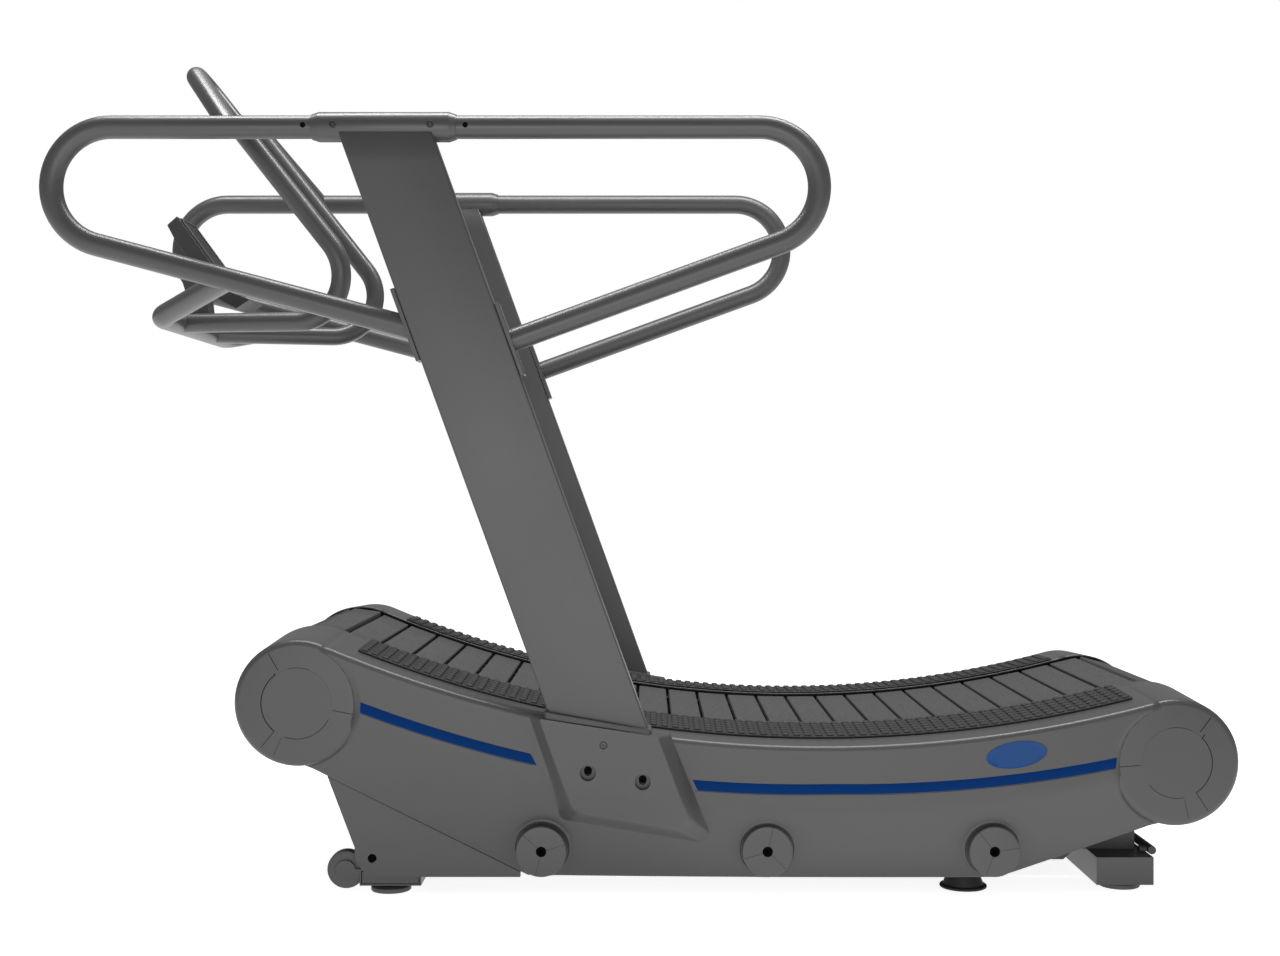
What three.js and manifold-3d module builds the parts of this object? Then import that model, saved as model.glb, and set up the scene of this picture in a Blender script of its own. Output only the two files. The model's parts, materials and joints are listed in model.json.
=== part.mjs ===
// A curved manual treadmill: a dished slat belt between two side shells, two raked uprights
// that carry hand rails, two push handles and a small console. Millimetres, +Z up.
// The runner faces -X and the machine is symmetric about Y = 0. The origin is on the floor.

import * as THREE from 'three';
import { mergeVertices } from 'three/addons/utils/BufferGeometryUtils.js';
import Module from 'manifold-3d';

const wasm = await Module();
wasm.setup();

// ---------------------------------------------------------------- driving dimensions

const GAP = 0.3;
const DEG = Math.PI / 180;
const ORIGIN_SHIFT = -4.7;
const SIDES = { left: -1, right: 1 };

// Side profile: two drums joined by a dish that is tangent to both.
const DRUM = { radius: 114.7, front: [-615.6, 357.4], rear: [970.4, 250.2] };
const DISH_RADIUS = 2330;
const UNDER_RADIUS = 3600;

// Side shells.
const SHELL = {
  inner: 235.5, outer: 436.5, wall: 4, edge: 12, lift: 10, crease: 118, tilt: 13.5 * DEG,
  floor: [[-606, 239], [-202, 38], [656, 36], [944, 134]],
  openInside: 315, discDepth: 60,
};
const SOCKET = {
  outline: [[-176, 334], [-130, 207], [-113, 169], [64, 137], [90, 152], [35, 301]],
  height: 30, slope: 22,
};
const TREAD = { inner: 236, outer: 368, thickness: 3, front: -521, rear: 914 };
const DRUM_CAP = { radius: 68.7, thickness: 4 };
const BOLT_CAP = { radius: 46, bore: 9.2, face: 440, depth: 36, z: 90.7, x: [-175, 233, 642] };

// Running belt.
const SLAT = { count: 60, length: 59, height: 12, halfWidth: 232, surface: 2.3 };
const RIBBON = { inner: 175, width: 30, thickness: 8, sink: 3 };
const ROLLER = { rim: 95.5, tube: 50, bore: 15.4, halfWidth: 212, rimWidth: 44, wall: 6 };
const AXLE = { radius: 15, halfLength: 262 };
const BEARING = { radius: 15, count: 14, front: -470, rear: 830, drop: 1.2 };

// Frame.
const SIDE_FRAME = { inner: 240, thickness: 9.7, top: 40, bottom: 115, hub: 46 };
const BEAM = { inner: 250, width: 50, floor: 45.3, height: 39, wall: 3 };
const CROSS = { width: 60, height: 34, x: [-175, 233, 642] };
const FRONT_FOOT = { x: [-512, -399], z: [15, 45], halfLength: 379.6, wall: 3 };
const REAR_FOOT = { x: [844, 949], z: [14, 65], halfLength: 370, wall: 3 };
const LIFT_BAR = { radius: 8, x: 958.5, z: 69, halfLength: 330 };
const WHEEL = { radius: 35, width: 25, bore: 8.6, x: -539, z: 42, y: 357 };
const STEM = { radius: 8, length: 27 };
const FEET = {
  front: { x: -459, y: 345, radius: 37, pad: 9, collar: 12 },
  middle: { x: 607, y: 322, radius: 43.7, pad: 5, collar: 33 },
  rear: { x: 901, y: 313, radius: 38, pad: 9, collar: 11 },
};

// Uprights and rails.
const POST = {
  rake: 0.3627, topX: -540.5, top: 1386, foot: 185, length: 169, inner: 395, width: 50, wall: 3,
};
const RAIL = { y: 420, radius: 21, wall: 2.5, z: 1399, bend: 108, sides: 10 };
const RAIL_JOINT = -460;
const SLEEVE = { outer: 27, inner: 21.4, x: [-591, -329], chamfer: 12.5, nose: 22.6 };
const FRONT_RAIL = { x: -414, z: 1036, slope: 14.8 * DEG, plate: [976, 1106] };
const REAR_RAIL = { x: -236, z: 1010, slope: 20 * DEG, plate: [947, 1077] };
const RAIL_PLATE = 8;

// Front crossbar, push handles and console.
const CROSSBAR = { x: -916, z: 1072, corner: 245, endX: -745, bend: 60 };
const HANDLE = {
  radius: 19, wall: 2, startY: 120, y: 207, lowX: -482, topX: -885, topZ: 1583, endX: -740,
};
const HANDLE_BEND = { low: 93, top: 42 };
const CONSOLE = { halfWidth: 58, slope: 53.9 * DEG, top: [-939, 1296], face: 192 };
const SCREEN = { from: 12, length: 112, width: 96, thickness: 3 };
const BUTTON = { radius: 7, height: 6, sunk: 2.6, pocket: 4.4, along: 150, pitch: 30 };

// ---------------------------------------------------------------- materials

const finish = (color, roughness, metalness) => () =>
  new THREE.MeshStandardMaterial({ color, roughness, metalness });

const greyPaint = finish(0x5d5d5e, 0.45, 0.35);
const darkPaint = finish(0x3a3a3c, 0.55, 0.3);
const shellGrey = finish(0x5f5f60, 0.5, 0.1);
const slatGrey = finish(0x575757, 0.8, 0.0);
const treadBlack = finish(0x3b3b3b, 0.9, 0.0);
const steel = finish(0x9a9a9c, 0.35, 1.0);
const rubber = finish(0x151515, 0.9, 0.0);
const blackPlastic = finish(0x2b2b2c, 0.6, 0.0);
const glass = finish(0x101214, 0.15, 0.0);

// ---------------------------------------------------------------- solids and meshes

const model = new THREE.Group();

/** Adds one named sub-part. */
function addPart(name, geometry, material, position = [0, 0, 0], rotation = [0, 0, 0]) {
  const mesh = new THREE.Mesh(geometry, material());
  mesh.name = name;
  mesh.position.set(...position);
  mesh.rotation.set(...rotation);
  model.add(mesh);
  return mesh;
}

/** A closed mesh as a solid that can be cut and joined. */
function solid(geometry) {
  const bare = geometry.clone();
  bare.deleteAttribute('normal');
  bare.deleteAttribute('uv');
  const merged = mergeVertices(bare, 1e-3);
  return new wasm.Manifold(new wasm.Mesh({
    numProp: 3,
    vertProperties: new Float32Array(merged.attributes.position.array),
    triVerts: new Uint32Array(merged.index.array),
  }));
}

/** A solid back as a geometry. */
function geometryOf(body) {
  const mesh = body.getMesh();
  const geometry = new THREE.BufferGeometry();
  geometry.setAttribute('position', new THREE.BufferAttribute(mesh.vertProperties, 3));
  geometry.setIndex(new THREE.BufferAttribute(mesh.triVerts, 1));
  return geometry;
}

/** The first solid with the others joined to it. */
const joined = (first, ...others) => others.reduce((body, other) => body.add(other), first);

/** The first solid with the others cut from it. */
const cut = (first, ...others) => others.reduce((body, other) => body.subtract(other), first);

/** The geometry seen in a mirror on the plane Y = 0, still facing outwards. */
function mirrored(geometry) {
  const copy = geometry.index ? geometry.toNonIndexed() : geometry.clone();
  copy.deleteAttribute('normal');
  copy.deleteAttribute('uv');
  const points = copy.attributes.position;
  const a = new THREE.Vector3();
  const b = new THREE.Vector3();
  for (let i = 0; i < points.count; i += 3) {
    a.fromBufferAttribute(points, i + 1);
    b.fromBufferAttribute(points, i + 2);
    points.setXYZ(i + 1, b.x, b.y, b.z);
    points.setXYZ(i + 2, a.x, a.y, a.z);
  }
  return mergeVertices(copy.scale(1, -1, 1), 1e-4);
}

/** Adds a sub-part on the left, at -Y, and its mirror image on the right. */
function addPair(name, geometry, material) {
  addPart(`${name}_left`, geometry, material);
  addPart(`${name}_right`, mirrored(geometry), material);
}

/** An outline in X and Z as a slab between two distances from the middle, on the left side. */
function slab(outline, near, far, options = {}) {
  const shape = outline instanceof THREE.Shape ? outline : outlineShape(outline);
  const settings = { depth: far - near, bevelEnabled: false, curveSegments: 6, ...options };
  return new THREE.ExtrudeGeometry(shape, settings).rotateX(Math.PI / 2).translate(0, -near, 0);
}

/** A closed outline from corner points. */
const outlineShape = (points) => new THREE.Shape(points.map(([x, z]) => new THREE.Vector2(x, z)));

/** A box between two corners. */
function block([x0, y0, z0], [x1, y1, z1]) {
  const middle = [(x0 + x1) / 2, (y0 + y1) / 2, (z0 + z1) / 2];
  return new THREE.BoxGeometry(x1 - x0, y1 - y0, z1 - z0).translate(...middle);
}

/** A round bar along Y. */
function crossBar(radius, x, y0, y1, z, sides = 24) {
  return new THREE.CylinderGeometry(radius, radius, y1 - y0, sides).translate(x, (y0 + y1) / 2, z);
}

/** The points of a closed path at a fineness, each one once and anticlockwise. */
function pathPoints(path, fineness) {
  const points = path.getPoints(fineness);
  const distinct = points.filter((point, i) => point.distanceTo(points.at(i - 1)) > 0.05);
  return THREE.ShapeUtils.isClockWise(distinct) ? distinct.reverse() : distinct;
}

/** Points of a circle, as corners. */
function circlePoints(radius, sides) {
  const corner = (_, i) => {
    const turn = (2 * Math.PI * i) / sides;
    return new THREE.Vector2(radius * Math.cos(turn), radius * Math.sin(turn));
  };
  return Array.from({ length: sides }, corner);
}

/** Straight runs between corners, each corner rounded by a circular bend. */
class BentRoute extends THREE.Curve {
  constructor(corners, radii, step = 20 * DEG) {
    super();
    const points = corners.map((corner) => new THREE.Vector3(...corner));
    const headings = points.slice(1).map((point, i) => point.clone().sub(points[i]).normalize());
    this.stations = [{ point: points[0], heading: headings[0] }];
    for (let i = 1; i < points.length - 1; i += 1) {
      this.addBend(points[i], headings[i - 1], headings[i], radii[i - 1], step);
    }
    this.stations.push({ point: points.at(-1), heading: headings.at(-1) });
  }

  addBend(corner, before, after, radius, step) {
    const turn = before.angleTo(after);
    const inward = after.clone().addScaledVector(before, -before.dot(after)).normalize();
    const start = corner.clone().addScaledVector(before, -radius * Math.tan(turn / 2));
    const centre = start.clone().addScaledVector(inward, radius);
    const steps = Math.max(2, Math.round(turn / step));
    for (let i = 0; i <= steps; i += 1) {
      const angle = (turn * i) / steps;
      const point = centre.clone()
        .addScaledVector(inward, -radius * Math.cos(angle))
        .addScaledVector(before, radius * Math.sin(angle));
      const heading = before.clone().multiplyScalar(Math.cos(angle));
      heading.addScaledVector(inward, Math.sin(angle));
      this.stations.push({ point, heading });
    }
  }

  get steps() {
    return this.stations.length - 1;
  }

  getPointAt(u, target = new THREE.Vector3()) {
    return target.copy(this.stations[Math.round(u * this.steps)].point);
  }

  getTangentAt(u, target = new THREE.Vector3()) {
    return target.copy(this.stations[Math.round(u * this.steps)].heading);
  }

  getPoint(u, target) {
    return this.getPointAt(u, target);
  }

  getTangent(u, target) {
    return this.getTangentAt(u, target);
  }
}

/** A tube, or a solid bar where the wall is zero, along a route. */
function tubeAlong(route, radius, wall, sides = RAIL.sides) {
  const shape = new THREE.Shape(circlePoints(radius, sides));
  if (wall > 0) {
    shape.holes.push(new THREE.Path(circlePoints(radius - wall, sides).reverse()));
  }
  return new THREE.ExtrudeGeometry(shape, { steps: route.steps, extrudePath: route });
}

// ---------------------------------------------------------------- the side profile

/** Where circles of two radii about the front and rear drum centres cross, above the drums. */
function crossingAbove(radius) {
  const front = new THREE.Vector2(...DRUM.front);
  const rear = new THREE.Vector2(...DRUM.rear);
  const half = rear.clone().sub(front).multiplyScalar(0.5);
  const rise = Math.sqrt(radius ** 2 - half.lengthSq());
  const upward = new THREE.Vector2(-half.y, half.x).normalize();
  return front.add(half).addScaledVector(upward, rise);
}

const dishCentre = crossingAbove(DISH_RADIUS + DRUM.radius);
const underCentre = crossingAbove(UNDER_RADIUS - DRUM.radius);
const bearingOf = (from, to) => Math.atan2(to.y - from.y, to.x - from.x);
const frontDrum = new THREE.Vector2(...DRUM.front);
const rearDrum = new THREE.Vector2(...DRUM.rear);

/** The height of the dish at X, raised along its normal by an offset. */
function dishHeight(x, offset = 0) {
  return dishCentre.y - Math.sqrt((DISH_RADIUS - offset) ** 2 - (x - dishCentre.x) ** 2);
}

/** The dish from the front drum round to the rear drum, then both drums, at an offset outwards. */
function addDishAndDrums(path, offset, frontEnd, rearEnd) {
  const toFront = bearingOf(dishCentre, frontDrum);
  const toRear = bearingOf(dishCentre, rearDrum);
  path.absarc(...frontDrum, DRUM.radius + offset, frontEnd, toFront + Math.PI, true);
  path.absarc(...dishCentre, DISH_RADIUS - offset, toFront, toRear, false);
  path.absarc(...rearDrum, DRUM.radius + offset, toRear + Math.PI, rearEnd, true);
  return path;
}

/** The whole loop of the belt at an offset from the profile, as a closed path. */
function beltLoop(offset) {
  const frontEnd = bearingOf(underCentre, frontDrum);
  const rearEnd = bearingOf(underCentre, rearDrum);
  const path = addDishAndDrums(new THREE.Path(), offset, frontEnd + 2 * Math.PI, rearEnd);
  return path.absarc(...underCentre, UNDER_RADIUS + offset, rearEnd, frontEnd, true);
}

// ---------------------------------------------------------------- running belt

/** One rubber ribbon of the belt as a closed band. */
function ribbon() {
  const outer = SLAT.surface - SLAT.height + RIBBON.sink;
  const inner = outer - RIBBON.thickness - RIBBON.sink;
  const shape = new THREE.Shape(pathPoints(beltLoop(outer), 5));
  shape.holes.push(new THREE.Path(pathPoints(beltLoop(inner), 5)));
  return slab(shape, RIBBON.inner, RIBBON.inner + RIBBON.width);
}

/** One slat across the belt, at a share of the way round the loop. */
function slat(share, loop) {
  const place = loop.getPointAt(share);
  const heading = loop.getTangentAt(share);
  const box = new THREE.BoxGeometry(SLAT.length, 2 * SLAT.halfWidth, SLAT.height);
  box.rotateY(-Math.atan2(heading.y, heading.x));
  return box.translate(place.x, 0, place.y);
}

function addBelt() {
  const slatLine = beltLoop(SLAT.surface - SLAT.height / 2);
  const band = ribbon();
  let body = joined(solid(band), solid(mirrored(band)));
  for (let i = 0; i < SLAT.count; i += 1) {
    body = body.add(solid(slat(i / SLAT.count, slatLine)));
  }
  addPart('running_belt', geometryOf(body), slatGrey);
}

/** A roller: two toothless pulleys on a tube, open at its ends, turned about Y. */
function rollerGeometry() {
  const half = ROLLER.halfWidth;
  const rim = half - ROLLER.rimWidth;
  const webOut = half - 16;
  const webIn = webOut - ROLLER.wall;
  const side = [
    [ROLLER.tube - ROLLER.wall, 0], [ROLLER.tube - ROLLER.wall, webIn], [ROLLER.bore, webIn],
    [ROLLER.bore, webOut + 12], [ROLLER.bore + 9, webOut + 12], [ROLLER.bore + 9, webOut],
    [ROLLER.rim - ROLLER.wall, webOut], [ROLLER.rim - ROLLER.wall, half], [ROLLER.rim, half],
    [ROLLER.rim, rim], [ROLLER.tube, rim],
  ];
  const other = side.slice(1).reverse().map(([radius, y]) => [radius, -y]);
  const profile = [...side, ...other].map(([radius, y]) => new THREE.Vector2(radius, y));
  profile.push(profile[0].clone());
  return new THREE.LatheGeometry(profile.reverse(), 16);
}

function addRollers() {
  const places = { front: DRUM.front, rear: DRUM.rear };
  for (const [end, [x, z]] of Object.entries(places)) {
    addPart(`${end}_roller`, rollerGeometry(), steel, [x, 0, z]);
    const axle = crossBar(AXLE.radius, 0, -AXLE.halfLength, AXLE.halfLength, 0, 16);
    addPart(`${end}_axle`, axle, steel, [x, 0, z]);
  }
}

/** A curved rail under the belt's ribbon with a row of bearings on its inner face. */
function bearingRail() {
  const beltUnderside = SLAT.surface - SLAT.height - RIBBON.thickness;
  const top = beltUnderside - BEARING.drop;
  const web = dishBand(top - 4, top - 56, BEARING.front - 20, BEARING.rear + 20, 16);
  let body = solid(slab(web, 210, 216));
  for (let i = 0; i < BEARING.count; i += 1) {
    const x = BEARING.front + ((BEARING.rear - BEARING.front) * i) / (BEARING.count - 1);
    const z = dishHeight(x, top - BEARING.radius);
    body = body.add(solid(crossBar(BEARING.radius, x, -211, -178, z, 8)));
  }
  return geometryOf(body);
}

/** A band that follows the dish between two offsets and two X positions. */
function dishBand(top, bottom, x0, x1, segments) {
  const shareOf = (x, offset) => Math.asin((x - dishCentre.x) / (DISH_RADIUS - offset)) - Math.PI / 2;
  const shape = new THREE.Shape();
  shape.absarc(...dishCentre, DISH_RADIUS - bottom, shareOf(x0, bottom), shareOf(x1, bottom), false);
  shape.absarc(...dishCentre, DISH_RADIUS - top, shareOf(x1, top), shareOf(x0, top), true);
  return new THREE.Shape(pathPoints(shape, segments / 2));
}

// ---------------------------------------------------------------- frame

/** The curved side frame: a band under the dish, a hub at each axle and three legs. */
function sideFrame() {
  const { inner, thickness, top, bottom, hub } = SIDE_FRAME;
  const reach = [inner, inner + thickness];
  let body = solid(slab(dishBand(-top, -bottom, -590, 945, 14), ...reach));
  for (const [x, z] of [DRUM.front, DRUM.rear]) {
    body = body.add(solid(crossBar(hub, x, -reach[1], -reach[0], z, 16)));
  }
  for (const x of CROSS.x) {
    const legTop = dishHeight(x) - top - 20;
    body = body.add(solid(block([x - 40, -reach[1], BEAM.floor + 2], [x + 40, -reach[0], legTop])));
  }
  for (const [x, z] of [DRUM.front, DRUM.rear]) {
    body = body.subtract(solid(crossBar(AXLE.radius + GAP, x, -reach[1] - 5, -reach[0] + 5, z, 16)));
  }
  return geometryOf(body);
}

/** The outline of a frame beam: low along the floor, stepped up over the rear foot beam. */
function beamOutline(inset) {
  const low = BEAM.floor + inset;
  const high = BEAM.floor + BEAM.height - inset;
  return [
    [-505, low], [800 - inset, low], [822 + inset, 65.3 + inset], [934 - inset, 65.3 + inset],
    [934 - inset, 128 - inset], [900 - inset, 150 - inset], [845, 150 - inset], [760, high],
    [-505, high],
  ];
}

/** A hollow frame beam with its outriggers to the upright and to the middle foot. */
function frameBeam() {
  const { inner, width, wall } = BEAM;
  const outer = inner + width;
  const hollow = slab(beamOutline(wall), inner + wall, outer - wall);
  const ceiling = BEAM.floor + BEAM.height - wall;
  const mouth = block([-520, -outer + wall, BEAM.floor + wall], [-500, -inner - wall, ceiling]);
  const tray = block([-95, -POST.inner + GAP, 96], [75, -inner - 1, 104]);
  const shelf = block([-60, -inner - width, 80], [40, -inner - 1, 100]);
  const tab = block([-60, -POST.inner + GAP, 100], [40, -POST.inner + 8, 285]);
  const { x, y } = FEET.middle;
  const footArm = block([x - 45, -y - 38, BEAM.floor], [x + 45, -inner - 1, BEAM.floor + 12]);
  const stemHole = new THREE.CylinderGeometry(8.5, 8.5, 60, 16).rotateX(Math.PI / 2);
  stemHole.translate(x, -y, BEAM.floor);
  const shellOfBeam = cut(solid(slab(beamOutline(0), inner, outer)), solid(hollow), solid(mouth));
  const whole = joined(shellOfBeam, solid(shelf), solid(tray), solid(tab), solid(footArm));
  return geometryOf(cut(whole, solid(stemHole), solid(hollow)));
}

function addFrame() {
  addPair('side_frame', sideFrame(), darkPaint);
  addPair('bearing_rail', bearingRail(), steel);
  addPair('frame_beam', frameBeam(), darkPaint);
  const names = ['cross_member_front', 'cross_member_middle', 'cross_member_rear'];
  const half = SIDE_FRAME.inner - GAP;
  CROSS.x.forEach((x, i) => {
    const z = BEAM.floor + 2;
    const [wide, high] = [CROSS.width / 2, z + CROSS.height];
    const outer = block([x - wide, -half, z], [x + wide, half, high]);
    const bore = block([x - wide + 3, -half - 5, z + 3], [x + wide - 3, half + 5, high - 3]);
    addPart(names[i], geometryOf(cut(solid(outer), solid(bore))), darkPaint);
  });
}

// ---------------------------------------------------------------- floor pieces

/** A hollow foot beam along Y with a slot in its underside and holes for two foot stems. */
function footBeam({ x, z, halfLength, wall }, foot, openEnds) {
  const inside = halfLength + (openEnds ? 5 : -wall);
  const outer = block([x[0], -halfLength, z[0]], [x[1], halfLength, z[1]]);
  const hollow = block([x[0] + wall, -inside, z[0] + wall], [x[1] - wall, inside, z[1] - wall]);
  const slot = block([x[0] + 30, -60, z[0] - 5], [x[1] - 30, 60, z[0] + wall + 1]);
  let body = cut(solid(outer), solid(hollow), solid(slot));
  for (const side of Object.values(SIDES)) {
    const hole = new THREE.CylinderGeometry(8.5, 8.5, 20, 16).rotateX(Math.PI / 2);
    body = body.subtract(solid(hole.translate(foot.x, side * foot.y, z[0])));
  }
  return body;
}

/** Two ears and a pin that hold one transport wheel to the front foot beam. */
function wheelFork(side) {
  const centre = side * WHEEL.y;
  const half = WHEEL.width / 2;
  const ears = [-1, 1].flatMap((end) => {
    const near = centre + end * (half + 1);
    const far = centre + end * (half + 6);
    const [y0, y1] = [Math.min(near, far), Math.max(near, far)];
    const disc = crossBar(19, WHEEL.x, y0, y1, WHEEL.z, 12);
    const arm = block([WHEEL.x, y0, 26], [FRONT_FOOT.x[0] + 2, y1, FRONT_FOOT.z[1]]);
    return [solid(disc), solid(arm)];
  });
  const pin = crossBar(8, WHEEL.x, centre - half - 3, centre + half + 3, WHEEL.z, 10);
  return joined(solid(pin), ...ears);
}

/** A levelling foot: a pad with a collar and a threaded stem, standing on the floor. */
function footGeometry({ radius, pad, collar }) {
  const neck = collar > 20 ? 28 : radius - 8;
  const stemTop = collar + STEM.length;
  const profile = [
    [0, 0], [radius, 0], [radius, pad], [neck, collar], [STEM.radius, collar],
    [STEM.radius, stemTop], [0, stemTop],
  ];
  const points = profile.map(([r, z]) => new THREE.Vector2(r, z));
  return new THREE.LatheGeometry(points, 16).rotateX(Math.PI / 2);
}

function addFloorPieces() {
  const front = footBeam(FRONT_FOOT, FEET.front, true);
  const forks = Object.values(SIDES).map(wheelFork);
  const notches = Object.values(SIDES).map((side) => {
    const [y0, y1] = [side * WHEEL.y - WHEEL.width / 2 - 1, side * WHEEL.y + WHEEL.width / 2 + 1];
    return solid(crossBar(WHEEL.radius + 2, WHEEL.x, y0, y1, WHEEL.z, 16));
  });
  addPart('front_foot_beam', geometryOf(joined(cut(front, ...notches), ...forks)), greyPaint);
  addPart('rear_foot_beam', geometryOf(footBeam(REAR_FOOT, FEET.rear, false)), greyPaint);

  const reach = LIFT_BAR.halfLength;
  const bar = crossBar(LIFT_BAR.radius, LIFT_BAR.x, -reach, reach, LIFT_BAR.z, 12);
  const tabs = Object.values(SIDES).map((side) => {
    const y = side * 314;
    return solid(block([937, y - 9, REAR_FOOT.z[1] + GAP], [LIFT_BAR.x, y + 9, LIFT_BAR.z + 4]));
  });
  addPart('lift_handle', geometryOf(joined(solid(bar), ...tabs)), darkPaint);

  const [rim, width] = [WHEEL.radius, WHEEL.width / 2];
  const tyre = [
    [WHEEL.bore, -width], [rim - 3, -width], [rim, -width + 4], [rim, width - 4], [rim - 3, width],
    [WHEEL.bore, width],
  ];
  const tyreProfile = [...tyre, tyre[0]].map(([r, y]) => new THREE.Vector2(r, y));
  for (const [name, side] of Object.entries(SIDES)) {
    const wheel = new THREE.LatheGeometry(tyreProfile, 20);
    addPart(`transport_wheel_${name}`, wheel, rubber, [WHEEL.x, side * WHEEL.y, WHEEL.z]);
    for (const [end, foot] of Object.entries(FEET)) {
      addPart(`${end}_foot_${name}`, footGeometry(foot), rubber, [foot.x, side * foot.y, 0]);
    }
  }
}

// ---------------------------------------------------------------- side shells

/** Moves a point of the upper profile outwards: full on the dish, fading out below the drums. */
function lifted(x, z, amount) {
  const drum = x < frontDrum.x ? frontDrum : rearDrum;
  if (x >= frontDrum.x - 40 && x <= rearDrum.x + 40) {
    const low = z < dishHeight(Math.min(Math.max(x, frontDrum.x), rearDrum.x)) - 90;
    return low ? [x, z] : [x + (amount * (dishCentre.x - x)) / DISH_RADIUS, z + amount];
  }
  const fade = THREE.MathUtils.clamp((z - drum.y) / DRUM.radius + 1, 0, 1);
  const away = new THREE.Vector2(x, z).sub(drum).normalize().multiplyScalar(amount * fade);
  return [x + away.x, z + away.y];
}

/** The outer skin line of a shell, pulled in by an inset. */
function shellOutline(inset) {
  const shape = new THREE.Shape();
  const [first, second, third, fourth] = SHELL.floor;
  const startTurn = bearingOf(frontDrum, new THREE.Vector2(...first));
  const endTurn = bearingOf(rearDrum, new THREE.Vector2(...fourth));
  addDishAndDrums(shape, -inset, startTurn + 2 * Math.PI, endTurn);
  shape.lineTo(third[0], third[1] + inset);
  shape.lineTo(second[0], second[1] + inset);
  return new THREE.Shape(pathPoints(shape, 8));
}

/** The volume under the shell's skin, pulled in by an inset, with its lower face tilted in. */
function shellVolume(inset) {
  const { inner, outer, edge, crease, tilt, lift } = SHELL;
  const bevel = {
    bevelEnabled: true, bevelSize: edge, bevelThickness: edge, bevelOffset: -edge,
    bevelSegments: inset > 0 ? 1 : 2,
  };
  const body = slab(shellOutline(inset), inner - 30, outer - inset - edge, bevel);
  const points = body.attributes.position;
  for (let i = 0; i < points.count; i += 1) {
    if (-points.getY(i) < inner) {
      const [x, z] = lifted(points.getX(i), points.getZ(i), lift);
      points.setXYZ(i, x, points.getY(i), z);
    }
  }
  const innerRadius = DISH_RADIUS + crease;
  const reach = 420;
  const outerAt = outer - inset;
  const cone = [
    [innerRadius, -outerAt], [innerRadius + reach, -outerAt + reach * Math.tan(tilt)],
    [innerRadius + reach, -outerAt - 60], [innerRadius, -outerAt - 60], [innerRadius, -outerAt],
  ].map(([radius, y]) => new THREE.Vector2(radius, y));
  const cutter = new THREE.LatheGeometry(cone.reverse(), 72).translate(dishCentre.x, 0, dishCentre.y);
  const keep = block([-1200, -600, -100], [1200, -inner, 900]);
  const tilted = solid(body).subtract(solid(cutter));
  return joined(tilted, drumEnd(DRUM.front, inset), drumEnd(DRUM.rear, inset)).intersect(solid(keep));
}

/** A whole round end over a drum, flush with the upper face and proud of the tilted lower one. */
function drumEnd([x, z], inset) {
  const { outer, edge, discDepth } = SHELL;
  const radius = DRUM.radius - 1 - inset;
  const face = outer - inset;
  const profile = [[0, -face + discDepth], [radius, -face + discDepth], [radius, -face + edge],
    [radius - 0.3 * edge, -face + 0.3 * edge], [radius - edge, -face], [0, -face]];
  const points = profile.map(([r, y]) => new THREE.Vector2(r, y)).reverse();
  return solid(new THREE.LatheGeometry(points, 32).translate(x, 0, z));
}

/** The raised socket on the shell's face that takes the foot of the upright. */
function socketBulge() {
  const { height, slope, outline } = SOCKET;
  const bevel = { bevelEnabled: true, bevelSize: slope, bevelThickness: height, bevelSegments: 1 };
  const body = solid(slab(outline, SHELL.outer - 40, SHELL.outer, bevel));
  const below = dishBand(2, -400, -320, 260, 12);
  return body.intersect(solid(slab(below, SHELL.outer - 6, SHELL.outer + height)));
}

/** The space that the upright takes, with clearance. */
function postVolume(clear, wallIn, top, bottom) {
  const front = (z) => POST.topX + POST.rake * (POST.top - z);
  const outline = [
    [front(bottom) - clear + wallIn, bottom], [front(bottom) + POST.length + clear - wallIn, bottom],
    [front(top) + POST.length + clear - wallIn, top], [front(top) - clear + wallIn, top],
  ];
  const near = POST.inner - clear + wallIn;
  return slab(outline, near, POST.inner + POST.width + clear - wallIn);
}

function addShells() {
  const { inner, openInside, wall, outer, floor } = SHELL;
  const below = [
    [-585, 250], [floor[1][0] + 4, 54], [floor[2][0], 54], [938, 150], [1000, -50], [-700, -50], [-700, 180],
  ];
  const tools = [
    shellVolume(wall),
    solid(slab(below, inner - 10, openInside)),
    solid(postVolume(1, 0, 500, POST.foot - 5)),
    ...BOLT_CAP.x.map((x) =>
      solid(crossBar(BOLT_CAP.radius + 2, x, -outer - 20, -outer + 60, BOLT_CAP.z, 16))),
    ...[DRUM.front, DRUM.rear].map(([x, z]) =>
      solid(crossBar(DRUM_CAP.radius + GAP, x, -outer - 5, -outer + 10, z, 24))),
    solid(new THREE.CylinderGeometry(36, 36, 60, 16).rotateX(Math.PI / 2)
      .translate(FEET.middle.x, -FEET.middle.y, 40)),
  ];
  const skin = shellVolume(0).add(socketBulge());
  addPair('side_shell', geometryOf(cut(skin, ...tools)), shellGrey);

  for (const [name, side] of Object.entries(SIDES)) {
    for (const [end, [x, z]] of Object.entries({ front: DRUM.front, rear: DRUM.rear })) {
      const disc = new THREE.CylinderGeometry(DRUM_CAP.radius, DRUM_CAP.radius, DRUM_CAP.thickness, 24);
      const y = side * (outer - DRUM_CAP.thickness / 2);
      addPart(`drum_cap_${end}_${name}`, disc, shellGrey, [x, y, z]);
    }
    BOLT_CAP.x.forEach((x, i) => {
      const place = ['front', 'middle', 'rear'][i];
      const centre = [x, side * BOLT_CAP.face, BOLT_CAP.z];
      addPart(`bolt_cap_${place}_${name}`, boltCap(), shellGrey, centre, [0, 0, side > 0 ? 0 : Math.PI]);
    });
  }
}

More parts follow.
